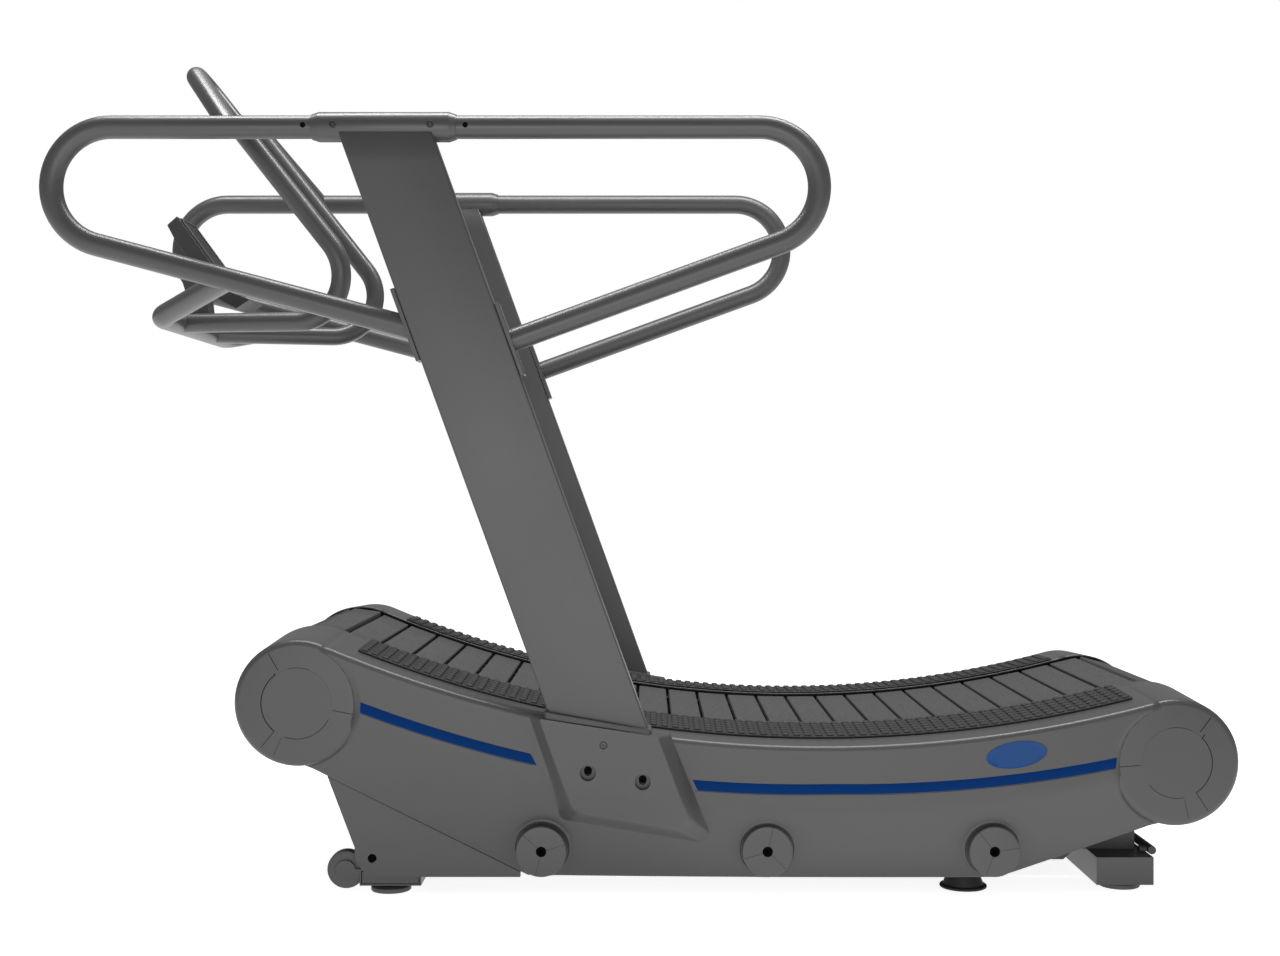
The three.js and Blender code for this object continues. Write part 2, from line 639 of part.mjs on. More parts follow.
/** A round cap, face at y = 0 and skirt towards -Y, with a hole for its bolt. */
function boltCap() {
  const { radius, bore, depth } = BOLT_CAP;
  const profile = [
    [bore, 0], [bore, -4], [radius - 4, -4], [radius - 4, -depth], [radius, -depth],
    [radius, -2], [radius - 2, 0], [bore, 0],
  ];
  return new THREE.LatheGeometry(profile.map(([r, y]) => new THREE.Vector2(r, y)), 16);
}

/** A tread plate: a thin sloping strip that follows the dish on top of the shell. */
function treadPlate() {
  const { inner, outer, thickness, front, rear } = TREAD;
  const reach = SHELL.outer - SHELL.edge - (SHELL.inner - 30);
  const liftAt = (y) => (SHELL.lift * (SHELL.outer - SHELL.edge - y)) / reach + 1.4;
  const steps = 24;
  const turnAt = (x) => Math.asin((x - dishCentre.x) / DISH_RADIUS);
  const route = new DishRoute(turnAt(front), turnAt(rear), steps);
  const section = new THREE.Shape([
    new THREE.Vector2(liftAt(inner), inner), new THREE.Vector2(liftAt(outer), outer),
    new THREE.Vector2(liftAt(outer) + thickness, outer), new THREE.Vector2(liftAt(inner) + thickness, inner),
  ]);
  return new THREE.ExtrudeGeometry(section, { steps, extrudePath: route });
}

/** A route along the dish whose sections keep one axis upright and the other level. */
class DishRoute extends THREE.Curve {
  constructor(start, end, steps) {
    super();
    Object.assign(this, { start, end, steps });
  }

  getPointAt(u, target = new THREE.Vector3()) {
    const turn = this.start + (this.end - this.start) * u;
    const x = dishCentre.x + DISH_RADIUS * Math.sin(turn);
    return target.set(x, 0, dishCentre.y - DISH_RADIUS * Math.cos(turn));
  }

  getTangentAt(u, target = new THREE.Vector3()) {
    const turn = this.start + (this.end - this.start) * u;
    return target.set(Math.cos(turn), 0, Math.sin(turn));
  }

  getPoint(u, target) {
    return this.getPointAt(u, target);
  }

  computeFrenetFrames(segments) {
    const shares = Array.from({ length: segments + 1 }, (_, i) => i / segments);
    const tangents = shares.map((u) => this.getTangentAt(u));
    const normals = tangents.map((t) => new THREE.Vector3(-t.z, 0, t.x));
    const binormals = tangents.map(() => new THREE.Vector3(0, -1, 0));
    return { tangents, normals, binormals };
  }
}

/** The cover over the front leg: a plate with a rounded lower corner and a hole. */
function legCover() {
  const corner = { x: -519, z: 34, radius: 45 };
  const shape = new THREE.Shape();
  shape.moveTo(-569, 218);
  shape.lineTo(corner.x, 88);
  const [centreX, centreZ] = [corner.x + corner.radius, corner.z + corner.radius];
  shape.absarc(centreX, centreZ, corner.radius, Math.PI, 1.5 * Math.PI, false);
  shape.lineTo(-216, corner.z);
  shape.lineTo(-216, 43);
  shape.holes.push(new THREE.Path(circlePoints(8.4, 16).map((p) => p.add(new THREE.Vector2(-487, 68)))));
  return slab(shape, 380, 392);
}

// ---------------------------------------------------------------- uprights and rails

/** A raked box-section post, open at both ends, with its top cut round the rail sleeve. */
function upright() {
  const outer = postVolume(0, 0, POST.top, POST.foot);
  const bore = postVolume(0, POST.wall, POST.top + 20, POST.foot - 20);
  const seatRadius = SLEEVE.outer + GAP;
  const seat = new THREE.CylinderGeometry(seatRadius, seatRadius, 400, 24).rotateZ(Math.PI / 2);
  seat.translate(POST.topX + POST.length / 2, -RAIL.y, RAIL.z);
  return geometryOf(cut(solid(outer), solid(bore), solid(seat)));
}

/** A sleeve along X that joins the front and rear rails at the top of the upright. */
function sleeveGeometry() {
  const half = (SLEEVE.x[1] - SLEEVE.x[0]) / 2;
  const body = half - SLEEVE.chamfer;
  const profile = [
    [SLEEVE.inner, -half], [SLEEVE.nose, -half], [SLEEVE.outer, -body], [SLEEVE.outer, body],
    [SLEEVE.nose, half], [SLEEVE.inner, half], [SLEEVE.inner, -half],
  ];
  const points = profile.map(([r, y]) => new THREE.Vector2(r, y));
  return new THREE.LatheGeometry(points, 16).rotateZ(Math.PI / 2);
}

/** A plate that is welded to a rail's end and bolted to the front or rear face of the upright. */
function railPlate([z0, z1], facing) {
  const rake = Math.atan(POST.rake);
  const middle = (z0 + z1) / 2;
  const faceX = POST.topX + POST.rake * (POST.top - middle) + (facing > 0 ? POST.length : 0);
  const plate = new THREE.BoxGeometry(RAIL_PLATE, POST.width, (z1 - z0) / Math.cos(rake));
  const away = facing * (RAIL_PLATE / 2 + GAP);
  plate.rotateY(-rake);
  return plate.translate(faceX + away * Math.cos(rake), -RAIL.y, middle + away * Math.sin(rake));
}

/** One looped hand rail on the left, from the sleeve round its bend and back to the upright. */
function handRail({ x, z, slope, plate }, facing) {
  const start = [RAIL_JOINT + facing * 0.5, -RAIL.y, RAIL.z];
  const run = (RAIL.z - z) / Math.tan(slope);
  const corner = [x + facing * run, -RAIL.y, RAIL.z];
  const past = 25;
  const end = [x - facing * past, -RAIL.y, z - past * Math.tan(slope)];
  const route = new BentRoute([start, corner, end], [RAIL.bend]);
  const tube = cut(solid(tubeAlong(route, RAIL.radius, RAIL.wall)), solid(postVolume(1, 0, 1300, 700)));
  return geometryOf(tube.add(solid(railPlate(plate, facing))));
}

/** A straight bar between two points, used to shape the ends that meet a rail. */
function barBetween(from, to, radius) {
  return solid(tubeAlong(new BentRoute([from, to], []), radius, 0, 16));
}

/** The volume of the lower front rail, with clearance, on one side. */
function lowerRailVolume(side) {
  const at = (x) => [x, side * RAIL.y, FRONT_RAIL.z + (FRONT_RAIL.x - x) * Math.tan(FRONT_RAIL.slope)];
  return barBetween(at(-900), at(-600), RAIL.radius + 0.4);
}

function addRails() {
  addPair('upright', upright(), greyPaint);
  addPair('handrail_front', handRail(FRONT_RAIL, -1), greyPaint);
  addPair('handrail_rear', handRail(REAR_RAIL, 1), greyPaint);
  const middle = (SLEEVE.x[0] + SLEEVE.x[1]) / 2;
  for (const [name, side] of Object.entries(SIDES)) {
    addPart(`rail_sleeve_${name}`, sleeveGeometry(), greyPaint, [middle, side * RAIL.y, RAIL.z]);
  }
}

// ---------------------------------------------------------------- crossbar, push handles, console

function addCrossbar() {
  const { x, z, corner, endX, bend } = CROSSBAR;
  const endZ = FRONT_RAIL.z + (FRONT_RAIL.x - endX) * Math.tan(FRONT_RAIL.slope);
  const corners = [[endX, -RAIL.y, endZ], [x, -corner, z], [x, corner, z], [endX, RAIL.y, endZ]];
  const tube = solid(tubeAlong(new BentRoute(corners, [bend, bend]), RAIL.radius, RAIL.wall));
  addPart('console_crossbar', geometryOf(cut(tube, lowerRailVolume(-1), lowerRailVolume(1))), greyPaint);
}

/** One push handle on the left: back from the crossbar, up and forward, then out to the rail. */
function pushHandle() {
  const { radius, wall, startY, y, lowX, topX, topZ, endX } = HANDLE;
  const corners = [
    [CROSSBAR.x, -startY, CROSSBAR.z], [lowX, -y, CROSSBAR.z - 2], [topX, -y, topZ], [endX, -RAIL.y, RAIL.z],
  ];
  const route = new BentRoute(corners, [HANDLE_BEND.low, HANDLE_BEND.top]);
  const bar = barBetween([CROSSBAR.x, -220, CROSSBAR.z], [CROSSBAR.x, 0, CROSSBAR.z], RAIL.radius + 0.4);
  const rail = barBetween([-900, -RAIL.y, RAIL.z], [-600, -RAIL.y, RAIL.z], RAIL.radius + 0.4);
  return geometryOf(cut(solid(tubeAlong(route, radius, wall)), bar, rail));
}

/** Points along and out from the console's face: [distance down the face, height over it]. */
function onFace(along, out) {
  const { top, slope } = CONSOLE;
  const x = top[0] + along * Math.cos(slope) + out * Math.sin(slope);
  const z = top[1] - along * Math.sin(slope) + out * Math.cos(slope);
  return [x, z];
}

function addConsole() {
  const { halfWidth, slope, face } = CONSOLE;
  const outline = [
    onFace(0, 0), [-959, 1278], [-943, 1247], [-919, 1214], [-865, 1134], [-819, 1108],
    [-790, 1127], onFace(face, 0),
  ];
  const pockets = [-1, 0, 1].map((place) => {
    const [x, z] = onFace(BUTTON.along, 0);
    const hole = new THREE.CylinderGeometry(BUTTON.radius + 0.4, BUTTON.radius + 0.4, 2 * BUTTON.pocket, 12);
    return solid(hole.rotateX(Math.PI / 2).rotateY(slope).translate(x, place * BUTTON.pitch, z));
  });
  const body = solid(slab(outline, -halfWidth, halfWidth));
  addPart('console_housing', geometryOf(cut(body, ...pockets)), blackPlastic);

  const [screenX, screenZ] = onFace(SCREEN.from + SCREEN.length / 2, SCREEN.thickness / 2 + GAP);
  const panel = new THREE.BoxGeometry(SCREEN.length, SCREEN.width, SCREEN.thickness);
  addPart('console_screen', panel, glass, [screenX, 0, screenZ], [0, slope, 0]);

  ['left', 'middle', 'right'].forEach((name, i) => {
    const [x, z] = onFace(BUTTON.along, BUTTON.height / 2 - BUTTON.sunk);
    const cap = new THREE.CylinderGeometry(BUTTON.radius - 0.6, BUTTON.radius, BUTTON.height, 12);
    const centre = [x, (i - 1) * BUTTON.pitch, z];
    addPart(`console_button_${name}`, cap.rotateX(Math.PI / 2), rubber, centre, [0, slope, 0]);
  });

  const neck = [
    [-940, 1080], [-881, 1080], [-887, 1138], [-885, 1161], [-919.8, 1213], [-944, 1246.4],
    [-952, 1248], [-956, 1222], [-939, 1172], [-932, 1150],
  ];
  const bar = barBetween([CROSSBAR.x, -60, CROSSBAR.z], [CROSSBAR.x, 60, CROSSBAR.z], RAIL.radius + 0.4);
  addPart('console_bracket', geometryOf(cut(solid(slab(neck, -25, 25)), bar)), greyPaint);
}

// ---------------------------------------------------------------- assembly

addFrame();
addFloorPieces();
addRollers();
addBelt();
addShells();
addPair('tread_plate', treadPlate(), treadBlack);
addPair('leg_cover', legCover(), greyPaint);
addRails();
addCrossbar();
addPair('push_handle', pushHandle(), greyPaint);
addConsole();
model.position.x = ORIGIN_SHIFT;

export default model;
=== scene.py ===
"""The finished look of a curved manual treadmill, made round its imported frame."""

import json
import math

import bmesh
import bpy
import numpy as np
from bpy.props import FloatProperty, FloatVectorProperty, IntProperty, PointerProperty
from bpy.types import Operator, Panel, PropertyGroup
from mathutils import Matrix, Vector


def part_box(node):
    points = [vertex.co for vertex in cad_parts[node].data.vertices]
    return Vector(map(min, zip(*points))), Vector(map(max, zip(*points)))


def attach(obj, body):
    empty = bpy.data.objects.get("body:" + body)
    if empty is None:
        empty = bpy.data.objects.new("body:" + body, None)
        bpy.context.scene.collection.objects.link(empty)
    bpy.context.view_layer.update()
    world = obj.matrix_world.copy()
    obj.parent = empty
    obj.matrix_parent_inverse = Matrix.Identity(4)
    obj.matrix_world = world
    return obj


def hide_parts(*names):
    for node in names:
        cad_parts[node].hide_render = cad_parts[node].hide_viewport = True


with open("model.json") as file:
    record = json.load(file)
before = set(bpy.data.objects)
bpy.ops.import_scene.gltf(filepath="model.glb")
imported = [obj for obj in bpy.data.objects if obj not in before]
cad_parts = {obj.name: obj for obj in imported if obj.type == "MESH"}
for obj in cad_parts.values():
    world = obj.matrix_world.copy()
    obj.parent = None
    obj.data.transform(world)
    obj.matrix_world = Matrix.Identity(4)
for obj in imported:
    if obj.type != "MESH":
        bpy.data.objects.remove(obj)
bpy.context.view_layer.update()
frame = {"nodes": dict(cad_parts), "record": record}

bl_info = {
    "name": "Curved Manual Treadmill",
    "version": (1, 0, 0),
    "blender": (4, 5, 0),
    "location": "3D View > Sidebar > Treadmill",
    "description": "Builds the shells, belt, rails and trim of a curved manual treadmill on its frame",
    "category": "Object",
}

# ------------------------------------------------------------------ places, in millimetres

MM = 0.001
SIDES = {"left": 1.0, "right": -1.0}
DRUM = {"front": (-615.6, 357.4), "rear": (970.4, 250.2)}
DRUM_R = 114.7
DISH_R = 2330.0
UNDER_R = 3600.0
SHELL_IN, SHELL_OUT = 235.5, 436.5
SHELL_EDGE, SHELL_LIFT, CREASE = 12.0, 10.0, 118.0
SHELL_TILT = math.tan(math.radians(13.5))
POST_RAKE, POST_TOP_X, POST_TOP, POST_FOOT = 0.3627, -540.5, 1386.0, 185.0
POST_LENGTH, POST_IN, POST_WIDTH = 169.0, 395.0, 50.0
RAIL_Y, RAIL_R, RAIL_Z = 420.0, 21.0, 1399.0
RAIL_BEND, HANDLE_R = 108.0, 19.0
PAD_RISE = 30.0
PAD_BORES, PAD_SCREW = ((-90, 237), (8, 221)), (-62, 287)
BADGE_X, BADGE_Z, BADGE_HALF = 682.0, 265.0, (55.5, 24.0)
FLANGE_IN = 338.0


def box_centre(node):
    """Middle of a CAD node's box, in millimetres."""
    low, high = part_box(node)
    return np.array((low + high) / 2) / MM


ORIGIN_X = box_centre("drum_cap_front_left")[0] - DRUM["front"][0]


def crossing_above(radius):
    """Where circles of one radius about the two drums cross: the middle of the drums' line plus its
    upward normal times sqrt(radius^2 - half length^2)."""
    front, rear = np.array(DRUM["front"]), np.array(DRUM["rear"])
    half = (rear - front) / 2
    rise = math.sqrt(radius**2 - half @ half)
    return front + half + rise * np.array([-half[1], half[0]]) / np.linalg.norm(half)


DISH = crossing_above(DISH_R + DRUM_R)
UNDER = crossing_above(UNDER_R - DRUM_R)


def dish_point(turn, offset):
    """X and Z on the dish: centre + (radius - offset) * (sin turn, -cos turn)."""
    turn, offset = np.broadcast_arrays(turn, offset)
    reach = DISH_R - offset
    return np.stack([DISH[0] + reach * np.sin(turn), DISH[1] - reach * np.cos(turn)], -1)


def turn_at(x, offset=0.0):
    """Turn of the dish at X: the arcsine of (X - centre) / (radius - offset)."""
    return np.arcsin((np.asarray(x, float) - DISH[0]) / (DISH_R - offset))


def bearing(start, end):
    """Angle of the line from start to end, from +X towards +Z."""
    return math.atan2(end[1] - start[1], end[0] - start[0])


# ------------------------------------------------------------------ surfaces


class Surface:
    """Points and faces of one mesh, gathered from closed or open grids."""

    def __init__(self):
        self.points, self.faces, self.count = [], [], 0

    def add(self, points, faces, closed=True):
        """Adds points and face arrays. A closed body with a negative volume is turned outwards."""
        points = np.asarray(points, float).reshape(-1, 3)
        if closed and signed_volume(points, faces) < 0:
            faces = [f[:, ::-1] for f in faces]
        self.points.append(points)
        self.faces += [f + self.count for f in faces]
        self.count += len(points)
        return self

    def grid(self, points, wrap=(False, False), caps=(False, False), closed=True):
        """Adds a grid of rows and columns; wrap joins its last row or column to the first, and caps
        close its first and last rows with one flat face each."""
        rows, columns = points.shape[:2]
        faces = [grid_faces(rows, columns, *wrap)]
        ring = np.arange(columns)
        if caps[0]:
            faces.append(ring[None, ::-1])
        if caps[1]:
            faces.append((ring + (rows - 1) * columns)[None])
        return self.add(points, faces, closed)

    def loft(self, points):
        """Adds rings of points joined one to the next, with a flat cap on each end."""
        return self.grid(points, wrap=(False, True), caps=(True, True))

    def merged(self):
        return np.concatenate(self.points), self.faces


def grid_faces(rows, columns, wrap_rows=False, wrap_columns=False):
    """Corner numbers of a grid's quads; the point in row i and column j has number i * columns + j."""
    i, j = np.meshgrid(
        np.arange(rows - (not wrap_rows)), np.arange(columns - (not wrap_columns)), indexing="ij"
    )
    i, j = i.ravel(), j.ravel()
    i2, j2 = (i + 1) % rows, (j + 1) % columns
    return np.stack([i * columns + j, i * columns + j2, i2 * columns + j2, i2 * columns + j], 1)


def signed_volume(points, faces):
    """Sum over triangles of a . (b x c) / 6, with every face cut into a fan."""
    total = 0.0
    for face in faces:
        a = points[face[:, :1]]
        b, c = points[face[:, 1:-1]], points[face[:, 2:]]
        total += float((a * np.cross(b, c)).sum()) / 6
    return total


def turned(profile, centre, axis=1, sides=72, direction=1.0):
    """A profile of (radius, height) turned about an axis: centre + radius * (cos a, sin a) across the
    axis and height along it. A profile that starts or ends at radius 0 closes in a pole there."""
    profile = np.asarray(profile, float)
    poles = profile[0, 0] < 1e-6, profile[-1, 0] < 1e-6
    rings = profile[int(poles[0]) : len(profile) - int(poles[1])]
    angle = np.linspace(0, 2 * np.pi, sides, endpoint=False)
    across = [k for k in range(3) if k != axis]
    points = np.zeros((len(rings), sides, 3))
    points[..., across[0]] = rings[:, :1] * np.cos(angle)
    points[..., across[1]] = rings[:, :1] * np.sin(angle)
    points[..., axis] = direction * rings[:, 1:]
    faces = [grid_faces(len(rings), sides, False, True)]
    flat = points.reshape(-1, 3)
    ring = np.arange(sides)
    for at_end, pole in enumerate(poles):
        if not pole:
            continue
        tip = np.zeros(3)
        tip[axis] = direction * profile[-1 if at_end else 0, 1]
        start = (len(rings) - 1) * sides if at_end else 0
        fan = np.stack([start + ring, start + (ring + 1) % sides, np.full(sides, len(flat))], 1)
        faces.append(fan if at_end else fan[:, ::-1])
        flat = np.vstack([flat, tip])
    if not any(poles) and np.allclose(profile[0], profile[-1]):
        flat = flat[:-sides]
        faces = [grid_faces(len(rings) - 1, sides, True, True)]
    return flat + np.asarray(centre, float), faces


def arc(start, end, radius, centre, steps):
    """Points of a circular arc in a profile: centre + radius * (cos a, sin a), in degrees."""
    a = np.radians(np.linspace(start, end, steps + 1))
    return np.stack([centre[0] + radius * np.cos(a), centre[1] + radius * np.sin(a)], 1)


def bent_route(corners, radii, step=5.0):
    """Straight runs between corners, with each corner rounded by an arc that is tangent to both runs.
    Returns the points and the headings."""
    corners = np.asarray(corners, float)
    runs = np.diff(corners, axis=0)
    heads = runs / np.linalg.norm(runs, axis=1)[:, None]
    points, headings = [corners[:1]], [heads[:1]]
    for corner, before, after, radius in zip(corners[1:-1], heads[:-1], heads[1:], radii, strict=True):
        turn = math.acos(float(np.clip(before @ after, -1, 1)))
        inward = after - before * (before @ after)
        inward /= np.linalg.norm(inward)
        start = corner - before * radius * math.tan(turn / 2)
        a = np.linspace(0, turn, max(3, round(math.degrees(turn) / step)) + 1)[:, None]
        points.append(start + inward * radius * (1 - np.cos(a)) + before * radius * np.sin(a))
        headings.append(before * np.cos(a) + inward * np.sin(a))
    points.append(corners[-1:])
    headings.append(heads[-1:])
    return np.concatenate(points), np.concatenate(headings)


def swept(route, section, reference):
    """A closed section carried along a route: point + across * s + up * t, where across is the
    heading crossed with the reference and up is across crossed with the heading."""
    points, headings = route
    across = np.cross(headings, reference)
    across /= np.linalg.norm(across, axis=1)[:, None]
    up = np.cross(across, headings)
    section = np.asarray(section, float)
    return (
        points[:, None]
        + across[:, None] * section[None, :, :1]
        + up[:, None] * section[None, :, 1:]
    )


def circle(radius, sides):
    """A round section: radius * (cos a, sin a)."""
    a = np.linspace(0, 2 * np.pi, sides, endpoint=False)
    return radius * np.stack([np.cos(a), np.sin(a)], 1)


def rounded(corners, radii, steps=5):
    """A closed outline whose corners are replaced by curves of the given radius: a quadratic curve
    from one radius before the corner to one radius after it."""
    corners = np.asarray(corners, float)
    radii = np.broadcast_to(np.asarray(radii, float), len(corners))
    before = np.roll(corners, 1, 0) - corners
    after = np.roll(corners, -1, 0) - corners
    room = 0.45 * np.minimum(np.linalg.norm(before, axis=1), np.linalg.norm(after, axis=1))
    cut = np.minimum(radii, room)[:, None]
    start = corners + cut * before / np.linalg.norm(before, axis=1)[:, None]
    end = corners + cut * after / np.linalg.norm(after, axis=1)[:, None]
    t = np.linspace(0, 1, steps + 1)[None, :, None]
    curve = (1 - t) ** 2 * start[:, None] + 2 * t * (1 - t) * corners[:, None] + t**2 * end[:, None]
    return curve.reshape(-1, 2)


def block(low, high):
    """The eight corners of a box, as a grid of two rows of four."""
    (x0, y0, z0), (x1, y1, z1) = low, high
    ring = np.array([[x0, y0], [x1, y0], [x1, y1], [x0, y1]])
    return np.stack([np.column_stack([ring, np.full(4, z)]) for z in (z0, z1)])


# ------------------------------------------------------------------ pieces

FINISHES = {}


def put_mesh(name, points, faces):
    """A mesh from whole arrays of points and corner numbers."""
    mesh = bpy.data.meshes.new(name)
    corners = np.concatenate([f.ravel() for f in faces]).astype(np.int32)
    sizes = np.concatenate([np.full(len(f), f.shape[1]) for f in faces])
    starts = np.concatenate([[0], np.cumsum(sizes)[:-1]]).astype(np.int32)
    mesh.vertices.add(len(points))
    mesh.vertices.foreach_set("co", points.astype(np.float32).ravel())
    mesh.loops.add(len(corners))
    mesh.loops.foreach_set("vertex_index", corners)
    mesh.polygons.add(len(sizes))
    mesh.polygons.foreach_set("loop_start", starts)
    mesh.update(calc_edges=True)
    mesh.validate()
    return mesh


def add_piece(name, mesh, finish, slot, body="frame", stands_for=(), sharp=35.0):
    """Links a mesh as a piece that rides on a body and takes the named finish; the slot is not used."""
    mesh.polygons.foreach_set("use_smooth", np.ones(len(mesh.polygons), bool))
    mesh.set_sharp_from_angle(angle=math.radians(sharp))
    mesh.materials.append(FINISHES[finish])
    piece = bpy.data.objects.new(name, mesh)
    bpy.context.scene.collection.objects.link(piece)
    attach(piece, body)
    if stands_for:
        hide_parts(*stands_for)
    return piece


def piece_from(surface, name, finish, slot, flip=1.0, **more):
    """A piece from a surface in millimetres, mirrored on Y = 0 where flip is -1."""
    points, faces = surface.merged()
    points = (points + [ORIGIN_X, 0, 0]) * [MM, flip * MM, MM]
    if flip < 0:
        faces = [f[:, ::-1] for f in faces]
    return add_piece(name, put_mesh(name, points, faces), finish, slot, **more)


def pair(surface, name, finish, slot, stands_for=(), modify=None, sharp=35.0):
    """The same surface on the left and mirrored on the right."""
    for side, flip in SIDES.items():
        piece = piece_from(
            surface,
            f"{name}_{side}",
            finish,
            slot,
            flip,
            stands_for=[f"{node}_{side}" for node in stands_for],
            sharp=sharp,
        )
        if modify:
            modify(piece)


def bevel(piece, width, segments=3, angle=30.0):
    """Rounds a piece's edges."""
    modifier = piece.modifiers.new("edges", "BEVEL")
    modifier.width = width * MM
    modifier.segments = segments
    modifier.limit_method = "ANGLE"
    modifier.angle_limit = math.radians(angle)
    modifier.harden_normals = True
    return piece


def thicken(piece, wall):
    """Gives an open skin a wall on its inner side."""
    modifier = piece.modifiers.new("wall", "SOLIDIFY")
    modifier.thickness = wall * MM
    modifier.offset = -1.0
    return piece


def refined(node, finish, slot, body, width=1.5):
    """A copy of a CAD node with its doubles merged, its flat faces joined and its edges rounded."""
    mesh = frame["nodes"][node].data.copy()
    mesh.name = f"{node}_skin"
    mesh.materials.clear()
    work = bmesh.new()
    work.from_mesh(mesh)
    bmesh.ops.remove_doubles(work, verts=work.verts, dist=1e-5)
    bmesh.ops.dissolve_limit(
        work, angle_limit=math.radians(1), verts=work.verts, edges=work.edges
    )
    work.to_mesh(mesh)
    work.free()
    piece = add_piece(mesh.name, mesh, finish, slot, body=body, stands_for=[node])
    return bevel(piece, width)


# ------------------------------------------------------------------ finishes


def new_finish(name, colour, roughness, metallic=0.0, specular=0.5, coat=0.0):
    """A material with one shader, its fixed values on the shader's own sockets."""
    material = bpy.data.materials.new(name)
    material.use_nodes = True
    shader = material.node_tree.nodes["Principled BSDF"]
    shader.inputs["Base Color"].default_value = (*colour, 1)
    shader.inputs["Roughness"].default_value = roughness
    shader.inputs["Metallic"].default_value = metallic
    shader.inputs["Specular IOR Level"].default_value = specular
    shader.inputs["Coat Weight"].default_value = coat
    FINISHES[name] = material
    return material, shader


def grain(material, scale, stretch=(1, 1, 1), detail=4.0, roughness=0.55):
    """Noise on the object's own coordinates, its scale in cells per metre."""
    nodes, links = material.node_tree.nodes, material.node_tree.links
    where = nodes.new("ShaderNodeTexCoord")
    mapping = nodes.new("ShaderNodeMapping")
    mapping.inputs["Scale"].default_value = stretch
    noise = nodes.new("ShaderNodeTexNoise")
    noise.inputs["Scale"].default_value = scale
    noise.inputs["Detail"].default_value = detail
    noise.inputs["Roughness"].default_value = roughness
    links.new(where.outputs["Object"], mapping.inputs["Vector"])
    links.new(mapping.outputs["Vector"], noise.inputs["Vector"])
    return noise.outputs["Fac"]


def ranged(material, value, low, high, start=0.35, end=0.65):
    """A value from start to end mapped to one from low to high."""
    nodes, links = material.node_tree.nodes, material.node_tree.links
    node = nodes.new("ShaderNodeMapRange")
    for key, number in (("From Min", start), ("From Max", end), ("To Min", low), ("To Max", high)):
        node.inputs[key].default_value = number
    links.new(value, node.inputs["Value"])
    return node.outputs["Result"]


def tinted(material, shader, value, dark, light):
    """Colours the shader from dark to light by a value."""
    nodes, links = material.node_tree.nodes, material.node_tree.links
    ramp = nodes.new("ShaderNodeValToRGB")
    ramp.color_ramp.elements[0].position, ramp.color_ramp.elements[1].position = 0.3, 0.7
    ramp.color_ramp.elements[0].color = (*dark, 1)
    ramp.color_ramp.elements[1].color = (*light, 1)
    links.new(value, ramp.inputs["Fac"])
    links.new(ramp.outputs["Color"], shader.inputs["Base Color"])


def bumped(material, shader, value, strength, distance):
    """Raises the surface by a value, over a distance in metres."""
    nodes, links = material.node_tree.nodes, material.node_tree.links
    bump = nodes.new("ShaderNodeBump")
    bump.inputs["Strength"].default_value = strength
    bump.inputs["Distance"].default_value = distance
    links.new(value, bump.inputs["Height"])
    links.new(bump.outputs["Normal"], shader.inputs["Normal"])


def textured(name, colour, roughness, spread, cells, depth, vary=0.05, speckle=0.0, **more):
    """A finish with a fine raised grain, a slow drift of colour and a roughness that varies."""
    material, shader = new_finish(name, colour, roughness, **more)
    fine = grain(material, cells)
    slow = grain(material, 3.0, detail=2.0)
    colour = np.array(colour)
    share = speckle if speckle else vary
    tone = fine if speckle else slow
    tinted(material, shader, tone, colour * (1 - share), colour * (1 + share))
    rough = ranged(material, slow, roughness - spread, roughness + spread)
    material.node_tree.links.new(rough, shader.inputs["Roughness"])
    bumped(material, shader, fine, 0.35, depth)
    return material


def brushed(name, colour, roughness, stretch):
    """A metal with fine scratches that run across the stretched axes."""
    material, shader = new_finish(name, colour, roughness, metallic=1.0)
    lines = grain(material, 500.0, stretch=stretch, detail=3.0)
    rough = ranged(material, lines, roughness - 0.08, roughness + 0.1)
    material.node_tree.links.new(rough, shader.inputs["Roughness"])
    tinted(material, shader, lines, np.array(colour) * 0.85, np.array(colour) * 1.1)
    bumped(material, shader, lines, 0.15, 0.00005)


def make_finishes(look):
    """Every finish of the machine, from the colours in the panel."""
    textured("grey_paint", look.paint, 0.36, 0.04, 900.0, 0.00001, specular=0.38)
    textured("dark_paint", look.dark_paint, 0.5, 0.06, 900.0, 0.00004)
    textured("shell_plastic", look.shell, 0.36, 0.04, 1400.0, 0.00001, specular=0.38)
    textured("slat_rubber", look.slat, 0.8, 0.06, 330.0, 0.0004, speckle=0.5, specular=0.2)
    textured("tread_rubber", look.tread, 0.75, 0.08, 900.0, 0.0001, specular=0.2)
    textured("black_rubber", look.rubber, 0.6, 0.08, 900.0, 0.00006, specular=0.4)
    textured("grey_rubber", look.grey_rubber, 0.55, 0.06, 900.0, 0.00005)
    textured("console_plastic", look.console, 0.5, 0.05, 1500.0, 0.00006)
    textured("blue_vinyl", look.stripe, 0.6, 0.03, 1200.0, 0.00001, vary=0.03, specular=0.04)
    textured("blue_badge", look.badge, 0.5, 0.03, 1200.0, 0.00001, vary=0.03, specular=0.15)
    textured("seam", (0.008, 0.008, 0.009), 0.8, 0.05, 900.0, 0.00002, specular=0.1)
    # Near-black, nearly matt finish for the discs and bolts set in holes and bores: painted shade in those
    # hollows.
    textured("hole", (0.002, 0.002, 0.002), 0.9, 0.03, 900.0, 0.00002, specular=0.05)
    brushed("steel", look.steel, 0.34, (1.0, 0.04, 1.0))
    material, shader = new_finish("screen", look.screen, 0.35, specular=0.25)
    smudge = grain(material, 40.0, detail=3.0)
    material.node_tree.links.new(ranged(material, smudge, 0.3, 0.4), shader.inputs["Roughness"])
    tinted(material, shader, smudge, np.array(look.screen) * 0.9, np.array(look.screen) * 1.1)


# ------------------------------------------------------------------ side shells


